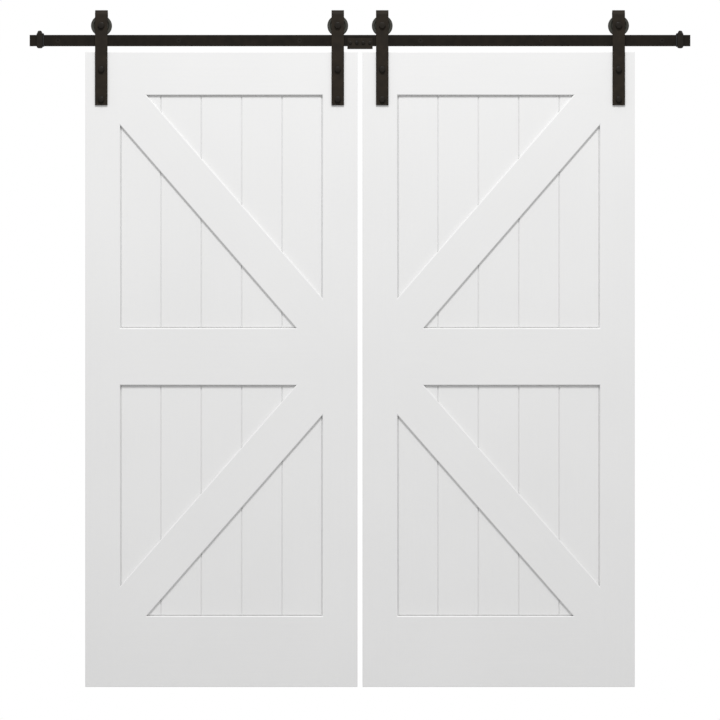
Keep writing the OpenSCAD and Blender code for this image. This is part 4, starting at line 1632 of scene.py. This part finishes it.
@dataclass
class Track:
    """The flat bar in two halves, its splice, its standoffs and its wall screws.

    Each point of ring_groove is a depth and a distance from the end of a standoff.
    """

    corner: float = 0.8 * MM
    plate_corner: float = 0.9 * MM
    splice_bolt: HexBolt = HexBolt(6 * MM, 10 * MM, 1.0 * MM, around=30)
    splice_pitch: float = 22 * MM
    splice_nut: float = 4.8 * MM
    splice_thread: float = 12 * MM
    proud: float = 1 * MM
    bolt_hole: float = 3.2 * MM
    head_radius: float = 8.5 * MM
    head_play: float = 0.1 * MM
    shank_radius: float = 3.8 * MM
    thread: Thread = Thread(2.9 * MM, 4.0 * MM, 3.4 * MM, share=0.5, steps=12)
    tip_length: float = 10 * MM
    tip_radius: float = 0.2 * MM
    head_edge: float = 0.2 * MM
    socket: float = 5 * MM
    socket_depth: float = 3 * MM
    socket_edge: float = 0.25 * MM
    socket_cone: float = 0.6 * MM
    screw_around: int = 30
    runout: float = 1 * MM
    thread_gap: float = 0.2 * MM
    shank_hole: float = 4.2 * MM
    ring_groove: tuple[tuple[float, float], ...] = (
        (0, 3 * MM), (0.4 * MM, 3.4 * MM), (0.4 * MM, 4.2 * MM), (0, 4.6 * MM))
    groove_softness: float = 0.15 * MM
    rim_softness: float = 0.9 * MM
    bore_softness: float = 0.2 * MM
    body: str = "track"

    def __post_init__(self) -> None:
        """Takes the places of the bar, the plate and the screws from the frame."""
        self.bar = Box.of("track_right_half")
        self.plate = Box.of("splice_plate")
        bolts = Box.of("splice_bolts")
        self.bolt_z = bolts.middle[2]
        self.bolt_xs = (np.arange(4) - 1.5) * self.splice_pitch
        mounts = {mount["name"]: mount for mount in frame["record"]["mounts"]}
        pitch = mounts["wall_screws_inner"]["dims"]["spacing_x_mm"] * MM
        screws = Box.of("wall_screws")
        count = round((screws.size[0] - 2 * self.head_radius) / pitch) + 1
        self.screw_xs = (np.arange(count) - (count - 1) / 2) * pitch
        self.screw_end = screws.high[1]
        self.wall_y = Box.of("wall_standoffs").high[1]

    def screw_tool(self, x: float) -> Shape:
        """Makes the tool for a countersunk hole: a cone as steep as the head, then the shank's hole.

        Args:
            x: Place of the hole along the track.
        Returns:
            The tool.
        """
        head, through = self.head_radius + self.head_play, self.bar.size[1] + OVER
        rings: list[Ring] = [
            (0, -OVER), (head, -OVER), (head, 0), (self.shank_hole, head - self.shank_hole),
            (self.shank_hole, through), (0, through),
        ]
        return lathe(rings, (x, self.bar.low[1], 0), Ends.POLES)

    def bolt_tools(self, front: float, depth: float, xs: Sequence[float]) -> list[Shape]:
        """Makes plain round tools for the splice bolts.

        Args:
            front: The face that they enter.
            depth: How thick the steel is.
            xs: Their places along the track.
        Returns:
            The tools.
        """
        return [drill(self.bolt_hole, (x, front - OVER, self.bolt_z), depth + 2 * OVER) for x in xs]

    def half(self, hand: Hand) -> None:
        """Makes and finishes one half of the bar, with its holes.

        Args:
            hand: Which half.
        """
        tools = [self.screw_tool(x) for x in self.screw_xs if x > 0]
        tools += self.bolt_tools(self.bar.low[1], self.bar.size[1], [x for x in self.bolt_xs if x > 0])
        shape = bar(self.bar.low, self.bar.high, self.corner, self.corner / 2)
        finished(f"track_{hand.word}_half", self.body, shape.scaled(hand.value), TRACK_COAT,
                 [tool.scaled(hand.value) for tool in tools])

    def screw(self, x: float) -> Shape:
        """Makes a countersunk wall screw: hexagon socket, cone, shank, coarse thread, pointed tip.

        Args:
            x: Place of the screw along the track.
        Returns:
            The screw.
        """
        around, edge = self.screw_around, self.head_edge
        socket, head = hexagon(self.socket, around), self.head_radius
        length, wall = self.screw_end - self.bar.low[1], self.wall_y - self.bar.low[1]
        full = length - self.tip_length
        rings: list[Ring] = [
            (0, self.socket_depth + self.socket_cone),
            (self.socket / 2 * SOCKET_FLOOR, self.socket_depth), (socket, self.socket_depth),
            (socket, self.socket_edge), (socket + self.socket_edge, 0),
            (head - edge, 0), (head, edge), (self.shank_radius, head - self.shank_radius),
            (self.shank_radius, wall - self.runout), (self.thread.root, wall),
            *self.thread.rings(wall + self.thread_gap, full, around),
            *self.thread.rings(full, length, around, tip=self.tip_radius)[1:], (0, length),
        ]
        return lathe(rings, (x, self.bar.low[1], 0), Ends.POLES, around)

    def standoff(self, x: float) -> Shape:
        """Turns a standoff, with a shallow groove near each end.

        Args:
            x: Place of the standoff along the track.
        Returns:
            The standoff.
        """
        box = Box.of("wall_standoffs")
        r, length, bore = box.size[2] / 2, box.size[1], self.shank_hole
        near = [(bore, 0.0), (r, 0.0), *[(r - sunk, y) for sunk, y in self.ring_groove]]
        far = [(radius, length - y) for radius, y in near[::-1]]
        soft = [self.bore_softness, self.rim_softness] + [self.groove_softness] * len(self.ring_groove)
        return turned(near + far, (x, box.low[1], 0), np.array(soft + soft[::-1]))

    def build(self) -> None:
        """Makes and finishes every part of the track."""
        for hand in Hand:
            self.half(hand)
        plate = bar(self.plate.low, self.plate.high, self.plate_corner, self.plate_corner)
        finished("splice_plate", self.body, plate, STRAP_COAT,
                 self.bolt_tools(self.plate.low[1], self.plate.size[1], self.bolt_xs))
        thick = self.bar.high[1] - self.plate.low[1]
        length = thick + self.splice_nut + self.proud
        bolts = [self.splice_bolt.shape((x, self.plate.low[1], self.bolt_z), length, self.splice_thread)
                 for x in self.bolt_xs]
        nuts = [self.splice_bolt.nut((x, self.bar.high[1], self.bolt_z), self.splice_nut)
                for x in self.bolt_xs]
        for node, shapes, finish in (
            ("splice_bolts", bolts, BOLT_COAT), ("splice_nuts", nuts, BOLT_COAT),
            ("wall_standoffs", [self.standoff(x) for x in self.screw_xs], TRACK_COAT),
            ("wall_screws", [self.screw(x) for x in self.screw_xs], BOLT_COAT),
        ):
            finished(node, self.body, Shape.joined(shapes), finish)


@dataclass
class EndStop:
    """A block clamped over the end of the bar, with its rubber pad and its domed clamp screw.

    The radii in corners and pad_corners go round each outline from its lower inner corner,
    counterclockwise.
    """

    shoulder: float = 4 * MM
    edge: float = 0.9 * MM
    corners: tuple[float, ...] = (8 * MM, 8 * MM, 2 * MM, 1.5 * MM, 0.8 * MM)
    corner_steps: int = 9
    play: float = 0.2 * MM
    pad_edge: float = 1 * MM
    pad_corners: tuple[float, ...] = (2 * MM, 0.2 * MM, 0.2 * MM, 2 * MM)
    pad_steps: int = 6
    head_radius: float = 8 * MM
    head_edge: float = 0.4 * MM
    skirt_share: float = 0.3
    screw_radius: float = 4 * MM
    screw_edge: float = 0.5 * MM
    hole_below: float = 5 * MM
    socket: float = 5 * MM
    socket_depth: float = 4 * MM
    socket_edge: float = 0.3 * MM
    socket_cone: float = 0.8 * MM
    socket_rim: float = 1.2 * MM
    dome_steps: int = 10
    around: int = 48
    body: str = "track"

    def __post_init__(self) -> None:
        """Takes the places of the stop and of the bar from the frame."""
        self.block = Hand.RIGHT.box("end_stop")
        self.pad = Hand.RIGHT.box("stop_bumper")
        self.bar = Box.of("track_right_half")
        self.screw_top = Box.of("stop_clamp_screws").high[2]

    def slot(self) -> Shape:
        """Makes the tool for the slot that the bar fills.

        Returns:
            The tool.
        """
        return block(
            (self.pad.low[0] - OVER, self.bar.low[1] - self.play, self.block.low[2] - OVER),
            (self.block.high[0] + OVER, self.bar.high[1] + self.play, self.bar.high[2] + self.play))

    def block_shape(self) -> Shape:
        """Thickens the block's outline, with round feet and a sloped outer shoulder.

        Returns:
            The block.
        """
        (x0, _, z0), (x1, _, z1) = self.block.low, self.block.high
        outline = np.array([[x0, z0], [x1, z0], [x1, z1 - self.shoulder], [x1 - self.shoulder / 2, z1],
                            [x0, z1]])
        soft = softened(outline, np.array(self.corners), self.corner_steps)
        return slab(soft, self.block.low[1], self.block.high[1], self.edge)

    def pad_shape(self) -> Shape:
        """Thickens the pad's outline, rounded where the wheel meets it.

        Returns:
            The pad.
        """
        (x0, _, z0), (x1, _, z1) = self.pad.low, self.pad.high
        outline = np.array([[x0, z0], [x1, z0], [x1, z1], [x0, z1]])
        soft = softened(outline, np.array(self.pad_corners), self.pad_steps)
        return slab(soft, self.pad.low[1], self.pad.high[1], self.pad_edge)

    def screw_shape(self) -> Shape:
        """Turns the clamp screw. Its dome is a ball's cap: at radius r it has fallen by
        R - sqrt(R^2 - r^2), and a hexagon socket is sunk into its top.

        Returns:
            The screw.
        """
        foot, top, end = self.block.high[2], self.screw_top, self.bar.high[2]
        height, r, edge = top - foot, self.head_radius, self.head_edge
        dome = height - height * self.skirt_share
        ball = (r * r + dome * dome) / (2 * dome)
        socket = hexagon(self.socket, self.around)

        def cap(radius: Height) -> Height:
            """Gives the height of the dome at a radius."""
            return top - ball + np.sqrt(ball ** 2 - np.square(radius))

        domed = np.linspace(self.socket / 2 + self.socket_rim, r, self.dome_steps)
        sunk, rim = top - self.socket_depth, socket + self.socket_edge
        rings: list[Ring] = [
            (0, sunk - self.socket_cone), (self.socket / 2 * SOCKET_FLOOR, sunk), (socket, sunk),
            (socket, cap(socket) - self.socket_edge), (rim, cap(rim)),
            *[(radius, cap(radius)) for radius in domed],
            (r, foot + edge), (r - edge, foot), (self.screw_radius, foot),
            (self.screw_radius, end + self.screw_edge), (self.screw_radius - self.screw_edge, end),
            (0, end),
        ]
        x, y, _ = self.block.middle
        return lathe(rings, (x, y, 0), Ends.POLES, self.around, Axis.UPWARDS)

    def build(self) -> None:
        """Makes both end stops."""
        x, y, _ = self.block.middle
        low = self.bar.high[2] - self.hole_below
        hole = drill(self.screw_radius + self.play, (x, y, low), self.screw_top - low, Axis.UPWARDS)
        for hand in Hand:
            made = hand.finished("end_stop", self.body, self.block_shape(), BOLT_COAT, [self.slot()])
            cut(made, [hole.scaled(hand.value)])
            hand.finished("stop_bumper", self.body, self.pad_shape(), BlackRubber(), [self.slot()])
        screw = self.screw_shape()
        finished("stop_clamp_screws", self.body, Shape.joined([screw, screw.scaled(-1)]), BOLT_COAT)


# ---------------------------------------------------------------- studio


@dataclass
class Studio:
    """A pale floor, soft light from above the front, and a long lens straight in front.

    The floor reaches to both sides, from front to back, as floor_reach says. The waves of its
    unevenness are in radians per metre, and the angles of the lamps are in degrees.
    """

    view_share: float = 1.0891
    view_drop: float = 0.0388
    distance: float = 14.0
    sensor: float = 36.0
    floor_drop: float = 0.165
    floor_reach: tuple[float, float, float] = (2.3, -2.2, 0.42)
    floor_places: int = 33
    floor_swell: float = 0.4 * MM
    floor_waves: tuple[float, float] = (2.1, 1.7)
    floor_tones: tuple[float, float] = (0.45, 0.48)
    ambient: float = 0.6
    sun_power: float = 0.635
    sun_height: float = 52.0
    sun_softness: float = 16.0
    sun_distance: float = 6.0
    key_power: float = 200.0
    key_place: tuple[float, float, float] = (0.0, -4.0, 4.2)
    key_aim: tuple[float, float, float] = (0.0, 0.0, 1.2)
    key_size: tuple[float, float] = (1.6, 1.2)

    def floor(self, low_z: float) -> None:
        """Lays a floor below the hanging door, as a grid with a faint slow unevenness.

        Args:
            low_z: Height of the lowest point of the door.
        """
        side, front, back = self.floor_reach
        count, (wave_x, wave_y) = self.floor_places, self.floor_waves
        x, y = np.meshgrid(np.linspace(-side, side, count), np.linspace(front, back, count),
                           indexing="ij")
        swell = self.floor_swell * (1 + np.sin(wave_x * x) * np.cos(wave_y * y))
        points = np.stack([x, y, low_z - self.floor_drop - swell], axis=-1).reshape(-1, 3)
        index = np.arange(count * count).reshape(count, count)
        quads = np.stack([index[:-1, :-1], index[1:, :-1], index[1:, 1:], index[:-1, 1:]], axis=-1)
        mesh = bpy.data.meshes.new("studio_floor")
        mesh.from_pydata(points, [], quads.reshape(-1, 4).tolist())
        thing = bpy.data.objects.new("studio_floor", mesh)
        bpy.context.scene.collection.objects.link(thing)
        s = Shader("pale_floor")
        colour = s.mixed(s.noise(1.3, 3), *(grey(tone) for tone in self.floor_tones))
        mesh.materials.append(s.surface(Base_Color=colour, Roughness=0.8, Specular_IOR_Level=0.2))

    def lamp(self, data: bpy.types.Light, place: Sequence[float], aim: Sequence[float]) -> None:
        """Hangs a lamp and points it.

        Args:
            data: What light it gives.
            place: Where it hangs.
            aim: The place that it points at.
        """
        thing = bpy.data.objects.new(data.name, data)
        thing.location = place
        thing.rotation_euler = (Vector(aim) - Vector(place)).to_track_quat("-Z", "Y").to_euler()
        bpy.context.scene.collection.objects.link(thing)

    def lamps(self) -> None:
        """Hangs a far lamp, whose light falls evenly, and the key lamp, which favours the top."""
        even = bpy.data.lights.new("far_lamp", "SUN")
        even.energy, even.angle = self.sun_power, math.radians(self.sun_softness)
        height = math.radians(self.sun_height)
        place = (0, -self.sun_distance * math.cos(height), self.sun_distance * math.sin(height))
        self.lamp(even, place, (0, 0, 0))
        key = bpy.data.lights.new("key_lamp", "AREA")
        key.shape = "RECTANGLE"
        key.size, key.size_y = self.key_size
        key.energy = self.key_power
        self.lamp(key, self.key_place, self.key_aim)

    def sky(self) -> None:
        """Sets an even light all round, with plain white behind the door."""
        world = bpy.data.worlds.new("studio")
        world.use_nodes = True
        nodes, links = world.node_tree.nodes, world.node_tree.links
        nodes.clear()
        light, backdrop = nodes.new("ShaderNodeBackground"), nodes.new("ShaderNodeBackground")
        light.inputs["Strength"].default_value = self.ambient
        light.inputs["Color"].default_value = (1, 1, 1, 1)
        backdrop.inputs["Color"].default_value = (1, 1, 1, 1)
        path, mix = nodes.new("ShaderNodeLightPath"), nodes.new("ShaderNodeMixShader")
        out = nodes.new("ShaderNodeOutputWorld")
        links.new(path.outputs["Is Camera Ray"], mix.inputs[0])
        links.new(light.outputs[0], mix.inputs[1])
        links.new(backdrop.outputs[0], mix.inputs[2])
        links.new(mix.outputs[0], out.inputs[0])
        bpy.context.scene.world = world

    def camera(self, low: np.ndarray, high: np.ndarray) -> None:
        """Sets the camera straight in front, so that its view is a little wider than the track.

        Args:
            low: Lowest corner of the door.
            high: Highest corner of the door.
        """
        middle, size = (low + high) / 2, high - low
        data = bpy.data.cameras.new("front_camera")
        data.sensor_width = self.sensor
        data.lens = self.sensor * self.distance / (size[0] * self.view_share)
        data.clip_end = 100
        thing = bpy.data.objects.new("front_camera", data)
        front = Box.of("right_inner_stile").low[1]
        thing.location = (middle[0], front - self.distance, middle[2] - self.view_drop)
        thing.rotation_euler = (math.pi / 2, 0, 0)
        bpy.context.scene.collection.objects.link(thing)
        bpy.context.scene.camera = thing

    def build(self) -> None:
        """Sets up the view, the floor and the light."""
        low, high = (np.array(corner) for corner in CAD_BOX)
        self.camera(low, high)
        self.floor(low[2])
        self.sky()
        self.lamps()
        bpy.context.scene.view_settings.view_transform = "Standard"


def main() -> None:
    """Builds the door from its track down, and then the studio."""
    logging.basicConfig(level=logging.INFO, format="%(name)s: %(message)s")
    Track().build()
    EndStop().build()
    for hand in Hand:
        Leaf(hand).build()
        Hangers(hand).build()
    Studio().build()


if __name__ == "__main__":
    main()
